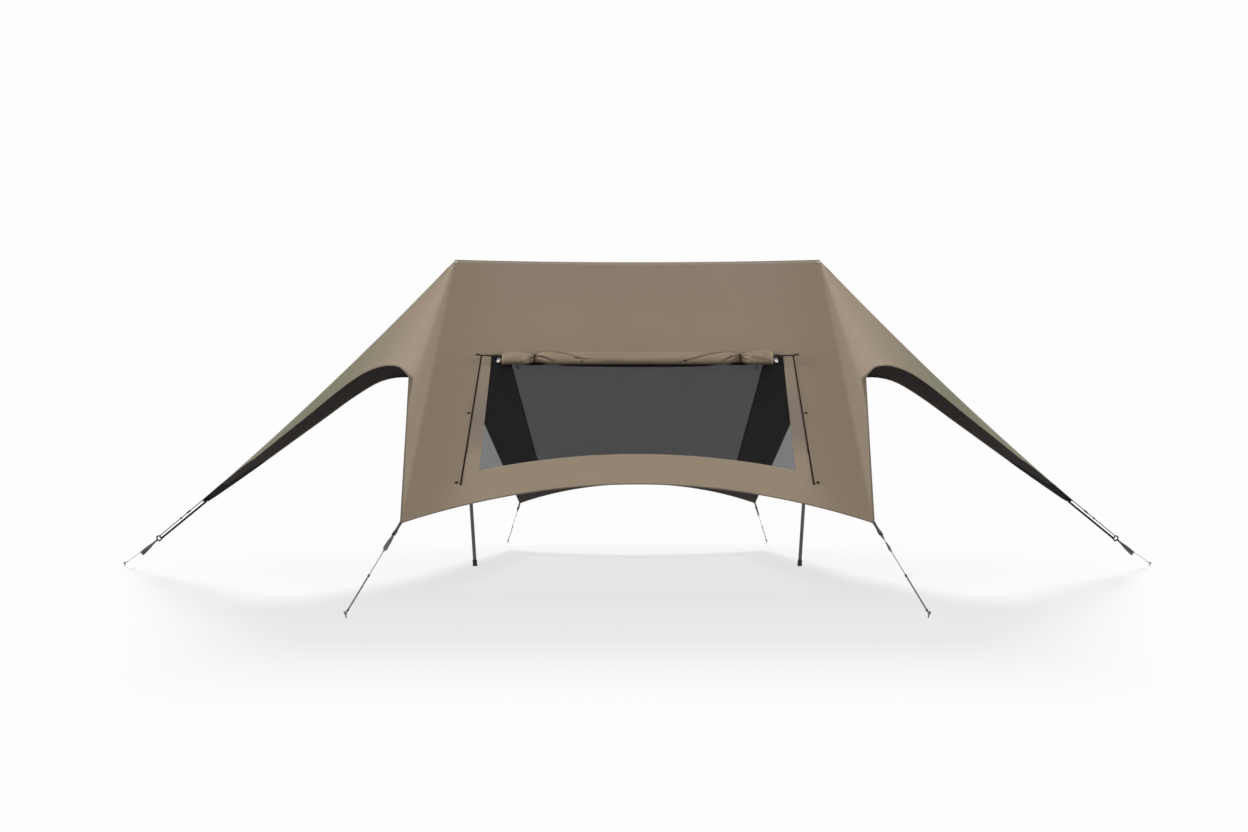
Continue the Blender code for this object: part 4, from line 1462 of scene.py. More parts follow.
def flap_roll(name, side, materials):
    """The rolled flap, whose turns slip a few millimetres past each other at its ends, and its cloth's length."""
    stations = roll_stations()
    flip = 1 if side < 0 else -1
    p, q, theta, groove = flap_section(stations[None] * flip)
    turn = np.clip(theta[0] - theta, 0, None)
    slip = 0.004 * np.sin(turn * 0.8) + 0.003 * np.sin(turn * 0.31)
    at_end = np.clip((np.abs(stations) - 0.70) / 0.122, 0, 1) ** 2
    x = stations + np.sign(stations) * slip * at_end
    points = on_roof(x, p, q, side)
    middle = len(stations) // 2
    length = travelled(np.stack([p[:, middle], q[:, middle]], axis=-1))
    uv = np.stack(np.broadcast_arrays(x * ROLL_PLACE[side][2], length[:, None]), axis=-1)
    tone = roll_painted_shading(stations * flip, theta, groove, np.arange(len(p))[:, None])
    roll = coarser_grid(name, points, uv, tone, LEAD_ROWS + OUTER_ROWS, materials, flip=side > 0)
    print(f"{name}: {length[-1]:.2f} m of cloth in {ROLL_TURNS} turns")
    return thicken(roll, FLAP_THICK, inner=1), length[-1]


def coarser_grid(name, points, uv, tone, split, materials, flip):
    """A grid that keeps every column down to the split row and every fourth below it, joined by many-sided faces."""
    columns, wide = points.shape[1], points.shape[1] // 4 + 1
    fine = np.arange((split + 1) * columns).reshape(-1, columns)
    coarse = fine.size + np.arange((len(points) - split - 1) * wide).reshape(-1, wide)
    quads = [np.stack([g[:-1, :-1], g[1:, :-1], g[1:, 1:], g[:-1, 1:]], -1).reshape(-1, 4) for g in (fine, coarse)]
    edge = fine[-1]
    seam = np.stack([edge[:-1:4], coarse[0, :-1], coarse[0, 1:], edge[4::4], edge[3::4], edge[2::4], edge[1::4]], -1)
    faces = [f[::-1] if flip else f for group in (*quads, seam) for f in group.tolist()]
    kept = [np.vstack([v[: split + 1].reshape(-1, v.shape[-1]), v[split + 1 :, ::4].reshape(-1, v.shape[-1])])
            for v in (points, uv, tone[..., None])]
    made = put_in_scene(name, kept[0], faces, kept[1][np.concatenate(faces)], materials)
    paint(made, kept[2])
    return made


def roll_tie(name, hand, side, node):
    """An elastic band from the panel above, over the roll's front and under it, just clear of the cloth."""
    x = np.full((1, 1), hand * TIE_X)
    p, q, _, _ = flap_section(x * (1 if side < 0 else -1), folds=False)
    front, last = (LEAD_ROWS + round(OUTER_ROWS * degrees / 360) for degrees in (TIE_FRONT, TIE_UNTIL))
    path = on_roof(np.broadcast_to(x, p.shape), p, q, side)[TIE_FROM_ROW:last, 0]
    across, out = plane_frame(path, [hand * side * -1.0, 0.0, 0.0])
    away = out if (out[front - TIE_FROM_ROW] @ np.array([0, side, 1.0])) > 0 else -out
    band = tube(path + away * TIE_LIFT, across, out, rounded_outline(TIE_WIDTH, TIE_THICK, 10))
    return make_piece(name, [band], elastic, "black_webbing", node)


flap_lengths = {}
for side, end in ENDS:
    roll, flap_lengths[end] = flap_roll(f"{end}_rolled_flap", side, [canvas, coating])
    show(finish_piece(roll, "canvas", f"{end}_flap_roll"))
    for hand, word in HANDS:
        roll_tie(f"{end}_{word}_tie", hand, side, f"{end}_roll_tie_{word}")

# %% [markdown]
# ## Zips, snaps and pulls
#
# A coil zip runs down each side of the front window, and by symmetry of the rear one, to close the flap against the
# weather. It is a woven tape with a fine nylon spiral on it. A row of blocks would look like a metal zip, so each
# zip gets its spiral. Two snaps beside each zip hold its cover strip.

# %% Zips, snaps and pulls
ZIP_WIDTH, ZIP_THICK, ZIP_LIFT = 0.009, 0.0008, 0.0007
ZIP_LEVEL = 0.105
ZIP_STEP = 0.002
COIL_RADIUS, COIL_PITCH, COIL_THREAD = 0.0017, 0.0045, 0.0011
SNAP_RADIUS, SNAP_HEIGHT = 0.0092, 0.0035
HOOP_HALF_WIDTH, HOOP_HALF_LENGTH = 0.0082, 0.0215
BAND_LIFT, BAND_THICK = 0.0011, 0.0007
# The side bands are painted lighter than the canvas, a painted light that darkens towards their foot, where it blends
# into the canvas's painted tone.
BAND_PAINTED_LIGHT = np.array([1.07, 1.09, 1.09])
BAND_FADE = [0.48, 0.43, 0.22]
SNAPS = {FRONT: [(0.939, 0.669), (0.911, 0.887)], REAR: [(1.018, 0.669), (0.972, 0.915)]}

# Offsets in x and s from the zip's corner, and bars across the slope: half the length, lift, width and thickness.
SLIDER_AT, STOP_AT, COVER_AT = (-0.096, 0.003), (0.024, -0.002), (-0.030, 0.0)
SLIDER_BODY, SLIDER_BRIDGE = (0.017, 0.005, 0.034, 0.009), (0.009, 0.0110, 0.008, 0.004)
STOP_BAR, COVER_BAR = (0.012, 0.003, 0.014, 0.0045), (0.044, 0.0022, 0.014, 0.0030)


def roof_line(x, s, side, lift):
    """A path on the roof, raised by lift, with the direction across it in the cloth and the one out of the cloth."""
    place, _, _, out = roof_frame(x, s, side)
    path = place + out * lift
    return path, unit(np.cross(unit(np.gradient(path, axis=0)), out)), out


def roof_spot(x, s, side):
    """One point of the roof, with the directions there along +X, down the slope, and out of the cloth."""
    return [v[0] for v in roof_frame(np.array([x]), np.array([s]), side)]


def zip_line(side, count):
    """x and s along a zip: level for its first part, round a small bend, and then down beside the window."""
    top_x, _, top, foot = ZIPS[side]
    corner = np.array([top_x, top * SLOPE_LENGTH])
    knots = np.array([corner - [ZIP_LEVEL, 0], corner, [zip_x(foot, side), foot * SLOPE_LENGTH]])
    soft = running_mean(along(knots, np.arange(0, travelled(knots)[-1], ZIP_STEP)), 12)
    x, y = along(soft, np.linspace(0, travelled(soft)[-1], count)).T
    return x, y / SLOPE_LENGTH


def make_zip(name, hand, side, *nodes):
    """A zip: its woven tape, and the nylon spiral that stands on it."""
    x, s = zip_line(side, 160)
    path, across, out = roof_line(hand * x, s, side, ZIP_LIFT)
    woven = tube(path, across, out, rounded_outline(ZIP_WIDTH, ZIP_THICK, 8, 5.0))
    make_piece(name, [woven], zip_tape, "zip_tape", *nodes)
    turns = round(travelled(path)[-1] / COIL_PITCH)
    x, s = zip_line(side, turns * 8)
    line, across, out = roof_line(hand * x, s, side, ZIP_LIFT + ZIP_THICK / 2 + COIL_RADIUS)
    angle = np.linspace(0, 2 * np.pi * turns, len(x))[:, None]
    coil = line + across * np.cos(angle) * COIL_RADIUS * 1.5 + out * np.sin(angle) * COIL_RADIUS * 0.8
    thread = tube(coil, *level_frame(coil), disc(COIL_THREAD, 5))
    return make_piece(f"{name}_coil", [thread], coil_nylon, "zip_tape")


def side_band(name, hand, side):
    """The doubled strip of cloth between window and zip, painted lighter as painted light; at the sill it sinks into
    the cloth.
    """
    _, _, top, _ = ZIPS[side]
    foot = WINDOW[side]["foot"] + WINDOW[side]["foot_bow"]
    points, uv = roof_patch(
        lambda s: hand * (window_x(s, side) + 0.0012), lambda s: hand * (zip_x(s, side) - ZIP_WIDTH / 2),
        lambda x: top + 0.0022, lambda x: foot + 0.02, side, 9, 60)
    s = uv[..., 1] / SLOPE_LENGTH
    _, _, _, out = roof_frame(uv[..., 0], s, side)
    points = points + out * (BAND_LIFT * (1 - 1.6 * step_up(s, foot - 0.12, foot)))[..., None]
    made = thicken(surface(name, points, uv, [canvas], flip=hand * side > 0), BAND_THICK)
    fade = step_up(s, foot - 0.20, foot)[..., None]
    at_foot = canvas_painted_tone(points.reshape(-1, 3)).reshape(points.shape)
    duller = 1 - np.clip((s - top) / (foot - top), 0, 1)[..., None] * BAND_FADE
    paint(made, (BAND_PAINTED_LIGHT * duller * (1 - fade) + at_foot * fade).reshape(-1, 3))
    return finish_piece(made, "canvas")


def cross_bar(spot, half, lift, width, thickness, count=14, power=4.0):
    """A bar across the slope, half its length to either side of a point on the roof, and raised by lift."""
    at, level, _, up = spot
    return bar(at - level * half + up * lift, at + level * half + up * lift, width, thickness, up, count, power)


def puller(name, hand, side):
    """The slider at the inner end of the zip, its black pull tape, and a bright metal pull with a slot in it."""
    top_x, _, top, _ = ZIPS[side]
    spot, stop_spot, cover_spot = (
        roof_spot(hand * (top_x + more_x), top + more_s, side) for more_x, more_s in (SLIDER_AT, STOP_AT, COVER_AT))
    place, across, down, out = spot
    body = cross_bar(spot, *SLIDER_BODY, 16, 3.5)
    bridge = cross_bar(spot, *SLIDER_BRIDGE, 12)
    inwards = across * -hand
    tape_end = place + down * 0.036 + inwards * 0.016 + out * 0.006
    strip = bar(place + down * 0.006 + inwards * 0.012 + out * 0.009, tape_end, 0.013, 0.0030, out, 14)
    stop, cover = cross_bar(stop_spot, *STOP_BAR, power=3.0), cross_bar(cover_spot, *COVER_BAR)
    make_piece(f"{name}_slider", [body, bridge, strip, stop, cover], brown_nylon, "buckle_plastic")
    turn = full_turn(32)
    middle = tape_end + down * 0.018 + out * 0.001
    drop = np.sign(np.sin(turn)) * np.abs(np.sin(turn)) ** 0.6 * HOOP_HALF_LENGTH
    hoop = middle + across * np.cos(turn) * HOOP_HALF_WIDTH + down * drop
    ahead = np.gradient(np.vstack([hoop[-1:], hoop, hoop[:1]]), axis=0)[1:-1]
    rim = ring_tube(hoop, np.tile(out, (32, 1)), unit(np.cross(out, ahead)), rounded_outline(0.0036, 0.0052, 8, 2.5))
    blade = bar(middle - down * 0.004, middle + down * 0.0200, 0.013, 0.0024, out, 14, 3.0)
    make_piece(f"{name}_pull", [rim, blade], pull_metal, "zip_pull")


def dome(centre, out, radius, height, count=20):
    """A low button: a lathe of rings about the direction out."""
    turn = np.linspace(0, np.pi / 2, 7)
    rings = np.concatenate([[1.0, 1.04], np.cos(turn) * 0.98])[:-1]
    rise = np.concatenate([[0.0, 0.25], 0.35 + 0.65 * np.sin(turn)])[:-1] * height
    path = centre + out * rise[:, None]
    side = unit(np.cross(out, [1.0, 0.3, 0.2]))
    side, up = np.tile(side, (len(path), 1)), np.tile(np.cross(out, side), (len(path), 1))
    return tube(path, side, up, disc(rings * 2 * radius, count))


for side, end in ENDS:
    for hand, word in HANDS:
        nodes = [f"front_zip_{word}"] if side == FRONT else []
        show(make_zip(f"{end}_{word}_zip", hand, side, *nodes))
        side_band(f"{end}_{word}_band", hand, side)
        puller(f"{end}_{word}", hand, side)
        snaps = []
        for x, s in SNAPS[side]:
            place, _, _, out = roof_spot(hand * x, s, side)
            snaps.append(dome(place + out * 0.0003, out, SNAP_RADIUS, SNAP_HEIGHT))
        make_piece(f"{end}_{word}_snaps", snaps, brown_nylon, "buckle_plastic")

# %% [markdown]
# ## Ridge eyelets
#
# Beside each end of the ridge a metal eyelet pierces the cloth, through which the pole's head can be tied in. A disc
# would read as another snap, so it is a ring pressed flat on the cloth, with a black disc inside it as painted shade
# of the hole.

# %% Ridge eyelets
EYELET_PLACE = (1.299, 0.0120)
EYELET_RADIUS, HOLE_RADIUS = 0.0090, 0.0058

for side, end in ENDS:
    for hand, word in HANDS:
        at, level, down, out = roof_spot(hand * EYELET_PLACE[0], EYELET_PLACE[1], side)
        turn = full_turn(32)
        away = level * np.cos(turn) + down * np.sin(turn)
        circle = at + out * 0.0012 + away * EYELET_RADIUS
        rim = ring_tube(circle, np.tile(out, (32, 1)), away, rounded_outline(0.0026, 0.0070, 10, 2.5))
        make_piece(f"{end}_{word}_eyelet", [rim], pull_metal, "zip_pull")
        # A black dome in the ring: painted shade for the dark of the hole.
        make_piece(f"{end}_{word}_eyelet_hole", [dome(at, out, HOLE_RADIUS, 0.0008)], nylon, "buckle_plastic")
print("ridge eyelets: 4")

# %% [markdown]
# ## Poles and feet
#
# Two slim tubes lean outwards in line with the ridge ends, and a thin spigot on top goes through the canvas. A pole
# that fits in a bag comes apart, so each has a joint where a narrower tube slides into a wider one. The foot is a
# rubber cup with ribs.

# %% Poles and feet
POLE_FOOT_X = 1.166

# Height and radius of each ring.
POLE_PROFILE = [
    (0.0065, 0.0120), (0.0070, 0.0125), (0.740, 0.0125), (0.742, 0.0122), (0.744, 0.0125), (1.108, 0.0125),
    (1.1085, 0.0136), (1.112, 0.0138), (1.124, 0.0138), (1.1275, 0.0136), (1.128, 0.0118), (1.640, 0.0118),
    (1.642, 0.0115), (1.644, 0.0118), (2.1600, 0.0118), (2.1605, 0.0125), (2.1725, 0.0125), (2.1775, 0.0120),
    (2.1845, 0.0060), (2.1865, 0.0042), (2.1975, 0.0042), (2.1990, 0.0037), (2.2000, 0.0026),
]
FOOT_PROFILE = [
    (0.0, 0.0150), (0.0006, 0.0161), (0.0020, 0.0165), (0.0075, 0.0165), (0.0080, 0.0158), (0.0105, 0.0156),
    (0.0110, 0.0163), (0.0165, 0.0163), (0.0170, 0.0156), (0.0195, 0.0154), (0.0200, 0.0161), (0.0255, 0.0161),
    (0.0260, 0.0154), (0.0285, 0.0152), (0.0290, 0.0159), (0.0420, 0.0157), (0.0440, 0.0152), (0.0450, 0.0142),
    (0.0450, 0.0129), (0.0440, 0.0128), (0.0060, 0.0128),
]


def on_pole(profile, hand, count):
    """Level rings about a pole's leaning line."""
    z, radius = np.array(profile).T
    x = hand * (POLE_FOOT_X + (RIDGE_HALF - POLE_FOOT_X) * z / RIDGE_HEIGHT)
    path = np.stack([x, np.zeros_like(z), z], axis=-1)
    side, up = np.tile([1.0, 0.0, 0.0], (len(z), 1)), np.tile([0.0, 1.0, 0.0], (len(z), 1))
    return tube(path, side, up, disc(radius * 2, count))


for hand, word in HANDS:
    make_piece(f"{word}_pole", [on_pole(POLE_PROFILE, hand, 32)], pole_paint, "pole_grey", f"pole_{word}")
    make_piece(f"{word}_foot", [on_pole(FOOT_PROFILE, hand, 40)], rubber, "foot_rubber", f"pole_foot_{word}")
print("poles: 2, each", RIDGE_HEIGHT, "m high, with a joint and a ribbed foot")

# %% [markdown]
# ## Corner guys
#
# Each corner is held by a doubled strap to a ladder buckle, through which a webbing tail is drawn tight. The tail
# twists on its way and ends in a thin cord to the peg. A straight rod would do for the line, but the twist, the
# buckle's bars and the loop on the peg are what one sees close up.

# %% Corner guys
CORNER_PEG = (1.286, 2.630)
PEG_LEAN = 0.25
PEG_RADIUS = 0.0032
CORD_ON_PEG = 0.018
CORD_WIDTH = 0.0035
WEBBING, WEBBING_THICK = 0.015, 0.0016
BUCKLE_FROM, BUCKLE_WIDTH, BUCKLE_LENGTH, BUCKLE_THICK = 0.0453, 0.021, 0.026, 0.0042

# Where the cord starts, the share of the line at which it doubles, and half the gap between its strands from there.
CORD_FROM, DOUBLED_FROM = 0.161, 0.595
STRAND_GAPS = [(0.0, 0.0012), (0.15, 0.0028), (0.9, 0.0028), (1.0, 0.0018)]
SINGLE_CORD = 0.0045

# Distance up the nail, and its radius.
PEG_PROFILE = [
    (0.0, 0.0034), (0.0212, 0.0034), (0.0218, 0.0072), (0.0226, 0.0082), (0.0262, 0.0082), (0.0286, 0.0070),
    (0.0298, 0.0048), (0.0302, 0.0020),
]

# Distance along the strap, and its lift from the line.
STRAP_KNOTS = [(-0.012, 0.0022), (0.0, 0.0022), (0.020, 0.0012), (0.040, 0.0026), (0.0475, 0.0034)]

# Distance along the tail, and its width, thickness and turn in degrees.
TAIL_KNOTS = [
    (0.0630, 0.017, 0.0016, 0), (0.079, 0.017, 0.0016, 0), (0.100, 0.018, 0.0018, 30), (0.120, 0.020, 0.0022, 60),
    (0.150, 0.024, 0.0030, 75), (0.158, 0.022, 0.0036, 78), (0.163, 0.010, 0.0050, 80),
]


def stations_along(start, end, distances):
    """Places on the straight line from start to end, and its frame."""
    ahead = unit(end - start)
    path = start + ahead * np.asarray(distances)[:, None]
    side = unit(np.cross(ahead, [0.0, 0.0, 1.0]))
    return path, np.tile(side, (len(path), 1)), np.tile(np.cross(side, ahead), (len(path), 1)), ahead


def doubled_strap(start, end, knots, width, thick, upright=False):
    """Webbing that goes out along a line, half turns round a bar at its far end, and comes back under itself.

    The knots are its distances with its lift from the line. An upright strap stands on its edge.
    """
    reach, lift = np.array(knots).T
    path, side, up, ahead = stations_along(start, end, reach)
    if upright:
        side, up = up, -side
    lift = lift[:, None]
    turn = np.radians(np.linspace(90, -90, 9))[:, None]
    wrap = path[-1] + (ahead * np.cos(turn) + up[0] * np.sin(turn)) * lift[-1]
    loop = np.vstack([(path + up * lift)[:-1], wrap, (path - up * lift)[:-1][::-1]])
    return tube(loop, *plane_frame(loop, side[0]), rounded_outline(width, thick, 12, 5.0))


def ladder_buckle(start, end):
    """Two rails and three bars across them, moulded in one: the strap goes round the first bar."""
    path, side, up, ahead = stations_along(start, end, [BUCKLE_FROM, BUCKLE_FROM + BUCKLE_LENGTH])
    side, up = side[0], up[0]
    grids = []
    for hand in (-1, 1):
        edge = side * hand * (BUCKLE_WIDTH / 2 - 0.002)
        grids.append(bar(path[0] + edge, path[1] + edge, 0.004, BUCKLE_THICK * 1.5, up))
    for part, size in ((0.11, 0.0060), (0.50, 0.0075), (0.89, 0.0060)):
        middle = path[0] + ahead * BUCKLE_LENGTH * part
        reach = side * (BUCKLE_WIDTH / 2 - 0.0025)
        grids.append(bar(middle - reach, middle + reach, size, BUCKLE_THICK, up))
    return grids


def twisted_tail(start, end, knots):
    """Webbing from knots of distance, width, thickness and turn, with straight changes between them."""
    at, *sizes = np.array(knots).T
    reach = np.linspace(at[0], at[-1], 40)
    width, thick, turn = (np.interp(reach, at, size) for size in sizes)
    path, side, up, _ = stations_along(start, end, reach)
    return tube(path, side, up, turned(rounded_outline(width, thick), turn))


def cord_grid(path, width=CORD_WIDTH):
    """A cord along a path."""
    return tube(path, *level_frame(path), disc(width, 10))


def cord_knot(centre, ahead, radius, width, turns=3):
    """A few turns of the cord about its own line, as in a whipped or overhand knot."""
    side = unit(np.cross(ahead, [0.0, 0.0, 1.0]))
    up = np.cross(side, ahead)
    t = np.linspace(0, 1, turns * 16 + 1)[:, None]
    angle = 2 * np.pi * turns * t
    path = centre + ahead * (t - 0.5) * turns * width * 0.95 + (side * np.cos(angle) + up * np.sin(angle)) * radius
    return tube(path, *level_frame(path), disc(width, 8))


def peg_line(x, y, out, reach):
    """Points at distances up a peg, which leans away from the shelter, and the direction of its lean."""
    lean = unit(np.array([out[0] * PEG_LEAN, out[1] * PEG_LEAN, 1.0]))
    return np.array([x, y, 0.0]) + lean * np.asarray(reach)[..., None], lean


def make_peg(name, x, y, out, node):
    """A steel nail with a domed head that keeps the cord on."""
    reach, radius = np.array(PEG_PROFILE).T
    path, lean = peg_line(x, y, out, reach)
    side = np.tile(unit(np.cross(out, lean)), (len(path), 1))
    return make_piece(name, [tube(path, side, np.cross(side, lean), disc(radius * 2))], steel, "peg_steel", node)


def peg_loop(x, y, out, width):
    """The cord's eye round the peg's rod, square to the line."""
    centre, lean = peg_line(x, y, out, CORD_ON_PEG)
    side = unit(np.cross(out, [0.0, 0.0, 1.0]))
    angle = full_turn(24)
    radius = PEG_RADIUS + width / 2 + 0.0003
    path = centre + (side * np.cos(angle) + np.cross(lean, side) * np.sin(angle)) * radius
    return ring_tube(path, np.tile(lean, (24, 1)), unit(path - centre), disc(width, 8))


def corner_guy(name, hand, side):
    """Strap, buckle, tail, cord and peg of one corner, on one straight line."""
    corner = roof(hand * CORNER_X, 1.0, side) - [0, 0, 0.0015]
    peg_x, peg_y = hand * CORNER_PEG[0], side * CORNER_PEG[1]
    out = unit(np.array([peg_x - corner[0], peg_y - corner[1], 0.0]))
    target = np.array([peg_x, peg_y, 0]) + out * PEG_LEAN * CORD_ON_PEG + [0, 0, CORD_ON_PEG]
    length, ahead = np.linalg.norm(target - corner), unit(target - corner)
    strap = doubled_strap(corner, target, STRAP_KNOTS, WEBBING, WEBBING_THICK)
    make_piece(f"{name}_strap", [strap], webbing_dark, "black_webbing", f"{name}_corner_strap")
    make_piece(f"{name}_buckle", ladder_buckle(corner, target), nylon, "buckle_plastic")
    make_piece(f"{name}_tail", [twisted_tail(corner, target, TAIL_KNOTS)], webbing_grey, "grey_webbing")

    parting = length * DOUBLED_FROM
    single = stations_along(corner, target, np.linspace(CORD_FROM, parting + 0.005 * length, 16))[0]
    double, across, _, _ = stations_along(corner, target, np.linspace(parting - 0.005 * length, length - 0.0065, 18))
    spread = across * np.interp(np.linspace(0, 1, 18), *np.array(STRAND_GAPS).T)[:, None]
    knot_at = stations_along(corner, target, [CORD_FROM + 0.007, parting, length - 0.020])[0]
    upper = [cord_grid(single, SINGLE_CORD), cord_knot(knot_at[0], ahead, 0.0030, 0.0030)]
    lower = [cord_grid(double + spread), cord_grid(double - spread), peg_loop(peg_x, peg_y, out, CORD_WIDTH * 0.8)]
    lower += [cord_knot(knot_at[1], ahead, 0.0038, 0.0034, 4), cord_knot(knot_at[2], ahead, 0.0040, 0.0028)]
    make_piece(f"{name}_cord", upper, cord_pale, "guy_cord", f"{name}_corner_guyline")
    make_piece(f"{name}_cord_end", lower, cord_grey, "guy_cord")
    make_peg(f"{name}_peg", peg_x, peg_y, out, f"{name}_corner_peg")


for side, end in ENDS:
    for hand, word in HANDS:
        corner_guy(f"{end}_{word}", hand, side)
print("corner guys: 4")

# %% [markdown]
# ## Wing guys
#
# Each wing tip is held twice: by a strap to a ring, and above it by a thin cord with a line tensioner. From the ring
# a twisted webbing tail and a cord go on to the peg.

# %% Wing guys
WING_PEG_X = 3.680
RING_PLACE = (3.438, 0.1995)
ON_RING = 0.0108
RING_HALF_ALONG, RING_HALF_UP = 0.0125, 0.0165
RING_DEPTH, RING_BAND = 0.0055, 0.0105
WING_CORD_WIDTH = 0.0062
TENSIONER_FROM, TENSIONER_UNTIL, KNOT_AT = 0.129, 0.163, 0.219
TENSIONER_WIDTH, TENSIONER_THICK = 0.014, 0.0110

# Offsets in x and z: where the strap and the cord start, from the tip, and where the tail ends, from the ring.
STRAP_START, CORD_START, TAIL_END = (-0.0208, -0.0165), (-0.004, 0.0005), (0.1227, -0.1096)
STRAP_WIDTH, STRAP_THICK, STRAP_LIFT = 0.014, 0.0017, 0.0010

# The web at the tip, seen from the front, with its depth in y and its size there.
TAB_CORNERS = np.array([
    (-0.036, 0.018), (-0.016, 0.0055), (0.0, 0.002), (0.005, -0.004), (0.001, -0.019), (-0.012, -0.026),
    (-0.038, -0.006),
])
TAB_DEPTH, TAB_SIZE = np.array([(-0.0021, 0.96), (-0.0017, 1.0), (0.0017, 1.0), (0.0021, 0.96)]).T

# Distance along the tail, and its width, thickness and turn in degrees.
WING_TAIL_KNOTS = [
    (0.0130, 0.015, 0.0024, 88), (0.032, 0.012, 0.0024, 84), (0.055, 0.015, 0.0026, 80), (0.090, 0.026, 0.0030, 84),
    (0.125, 0.031, 0.0034, 88), (0.164, 0.034, 0.0036, 90), (0.167, 0.031, 0.0030, 90),
]


def in_wing_plane(hand, x, z):
    """A place or offset in the plane of the two wing guys."""
    return np.array([hand * x, 0.0, z])


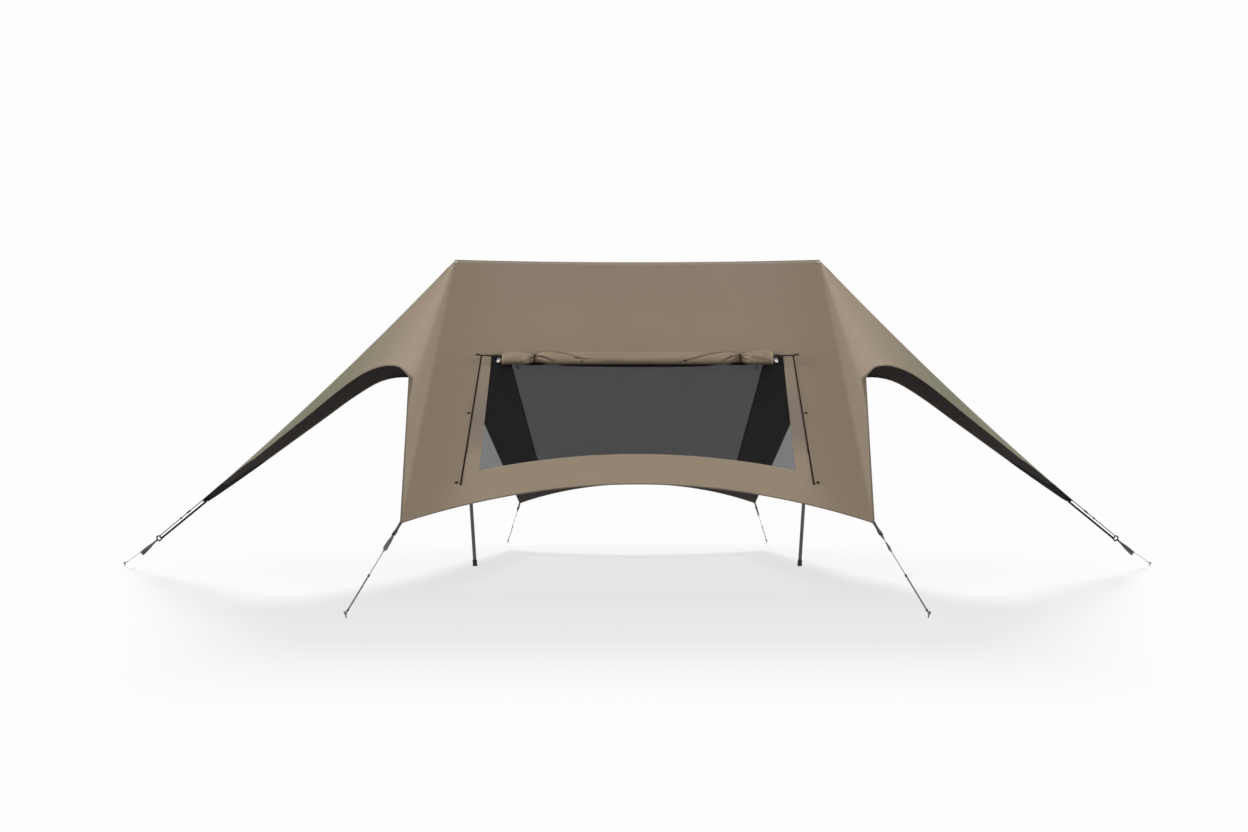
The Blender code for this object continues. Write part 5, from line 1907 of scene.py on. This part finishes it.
def wing_guy(word, hand):
    """Everything that holds one wing tip, from the web on the tip to the peg."""
    out = np.array([float(hand), 0.0, 0.0])
    tip = in_wing_plane(hand, WING_TIP[0] + 0.0005, WING_TIP[2])
    ring = in_wing_plane(hand, *RING_PLACE)
    target = in_wing_plane(hand, WING_PEG_X + PEG_LEAN * CORD_ON_PEG, CORD_ON_PEG)

    low = tip + in_wing_plane(hand, *STRAP_START)
    ahead = unit(ring - low)
    across = unit(np.cross(ahead, [0.0, 0.0, 1.0]))
    ring_up = np.cross(across, ahead)
    on_bar = ring - ring_up * ON_RING
    length = np.linalg.norm(on_bar - low)
    knots = [(0.0, 0.0009), (0.010, 0.0009)]
    knots += [(reach, STRAP_LIFT) for reach in (0.040, 0.120, 0.220, 0.320, length - 0.032)]
    knots += [(length - 0.0130, 0.0040)]
    strap = doubled_strap(low, on_bar, knots, STRAP_WIDTH, STRAP_THICK, upright=True)
    make_piece(f"{word}_wing_strap_webbing", [strap], webbing_black, "black_webbing", f"{word}_wing_strap")

    around = np.hstack([np.cos(full_turn(24)), np.sin(full_turn(24))])
    around = np.sign(around) * np.abs(around) ** 0.5
    oval = ring + ahead * around[:, :1] * RING_HALF_ALONG + ring_up * around[:, 1:] * RING_HALF_UP
    section = rounded_outline(RING_DEPTH, RING_BAND, 8, 3.0)
    ring_grid = ring_tube(oval, np.tile(across, (24, 1)), unit(oval - ring), section)
    make_piece(f"{word}_wing_ring", [ring_grid], nylon, "buckle_plastic")

    centre = TAB_CORNERS.mean(0)
    outlines = centre + (TAB_CORNERS - centre) * TAB_SIZE[:, None, None]
    tab_path = tip + np.outer(TAB_DEPTH, [0, 1, 0])
    tab = tube(tab_path, np.tile(out, (4, 1)), np.tile([0.0, 0.0, 1.0], (4, 1)), outlines)
    make_piece(f"{word}_wing_tab", [tab], webbing_black, "black_webbing", f"{word}_wing_tip_tab")

    high = tip + in_wing_plane(hand, *CORD_START)
    cord_end = ring + ring_up * ON_RING - ahead * 0.0140
    line = stations_along(high, cord_end, np.linspace(-0.004, np.linalg.norm(cord_end - high), 30))[0]
    marks, _, square, along_cord = stations_along(high, cord_end, [TENSIONER_FROM, TENSIONER_UNTIL, KNOT_AT])
    grids = [cord_grid(line, WING_CORD_WIDTH), cord_knot(marks[2], along_cord, 0.0046, 0.0044),
             cord_knot(cord_end, ring_up, 0.0066, 0.0050, 1)]
    make_piece(f"{word}_wing_tension_cord", grids, cord_dark, "guy_cord", f"{word}_wing_cord")
    runner = bar(marks[0], marks[1], TENSIONER_WIDTH, TENSIONER_THICK, square[0], 14, 3.0)
    make_piece(f"{word}_wing_tensioner", [runner], nylon, "buckle_plastic")

    tail = twisted_tail(ring, ring + in_wing_plane(hand, *TAIL_END), WING_TAIL_KNOTS)
    make_piece(f"{word}_wing_tail", [tail], webbing_dark, "grey_webbing", f"{word}_wing_guyline")
    span = np.linalg.norm(target - ring)
    beside = [0, 0.0040, 0]
    line = stations_along(ring, target, np.linspace(0.0140, span - 0.0065, 24))[0] + beside
    knot_at, _, _, ahead = stations_along(ring, target, [0.026, span - 0.020])
    cord = [cord_grid(line), peg_loop(hand * WING_PEG_X, 0.0, out, CORD_WIDTH * 0.8)]
    cord += [cord_knot(place + beside, ahead, size, size) for place, size in zip(knot_at, (0.0030, 0.0026))]
    make_piece(f"{word}_wing_peg_cord", cord, cord_pale, "guy_cord")
    make_peg(f"{word}_outer_peg", hand * WING_PEG_X, 0.0, out, f"{word}_wing_peg")


for hand, word in HANDS:
    wing_guy(word, hand)
print("wing guys: 2")

# %% [markdown]
# ## What is cut from flat cloth
#
# The canopy, the nets and the rolled flaps are cloth, so each is listed with the size that it was cut to, and its
# area is printed. The sizes could be guessed, but the surfaces already hold them: lengths along the roof, and the
# area of each mesh.

# %% Sheets


def cloth_area(obj):
    """Area of a sheet's mesh, which is a single layer until its modifier gives it a thickness."""
    area = np.empty(len(obj.data.polygons))
    obj.data.polygons.foreach_get("area", area)
    return float(area.sum())


def smallest_rectangle(x, y):
    """Sides of the smallest rectangle, at any angle, round a flat cut with corners at (x, y), mirrored both ways."""
    turn = np.radians(np.linspace(0, 90, 181))[:, None]
    wide, tall = (x * np.cos(turn) + y * np.sin(turn)).max(1), (x * np.sin(turn) + y * np.cos(turn)).max(1)
    best = np.argmin(wide * tall)
    return 2 * float(wide[best]), 2 * float(tall[best])


wing_length = float(travelled(QUARTERS[FRONT][:, -1])[-1])
skin = smallest_rectangle(np.array([RIDGE_HALF + wing_length, CORNER_X]), np.array([0, SLOPE_LENGTH]))
sewn_on = [o for o in bpy.data.objects if o.name.endswith(("_hem_tape", "_edge_tape", "_seam", "_wing_patch"))]
sheets = [(canopy, skin, "stretched", ["left_pole", "right_pole"], sewn_on)]
for side, end in ENDS:
    net = bpy.data.objects[f"{end}_net"]
    wide, deep, _ = np.ptp(point_array(net), axis=0)
    sheets.append((net, (float(wide), float(deep) * SLOPE_LENGTH / CORNER_Y), "stretched", ["canopy"], []))
    flap = (2 * ROLL_END * ROLL_PLACE[side][2], flap_lengths[end])
    ties = [f"{end}_{word}_tie" for _, word in HANDS]
    sheets.append((bpy.data.objects[f"{end}_rolled_flap"], flap, "folded", ties, []))
for piece, flat, held, rests_on, pieces in sheets:
    area = min(cloth_area(piece), flat[0] * flat[1])
    print(f"{piece.name}: cut from {flat[0]:.2f} x {flat[1]:.2f} m, {area:.2f} m2 of cloth")

# %% Last lines
bpy.context.view_layer.update()
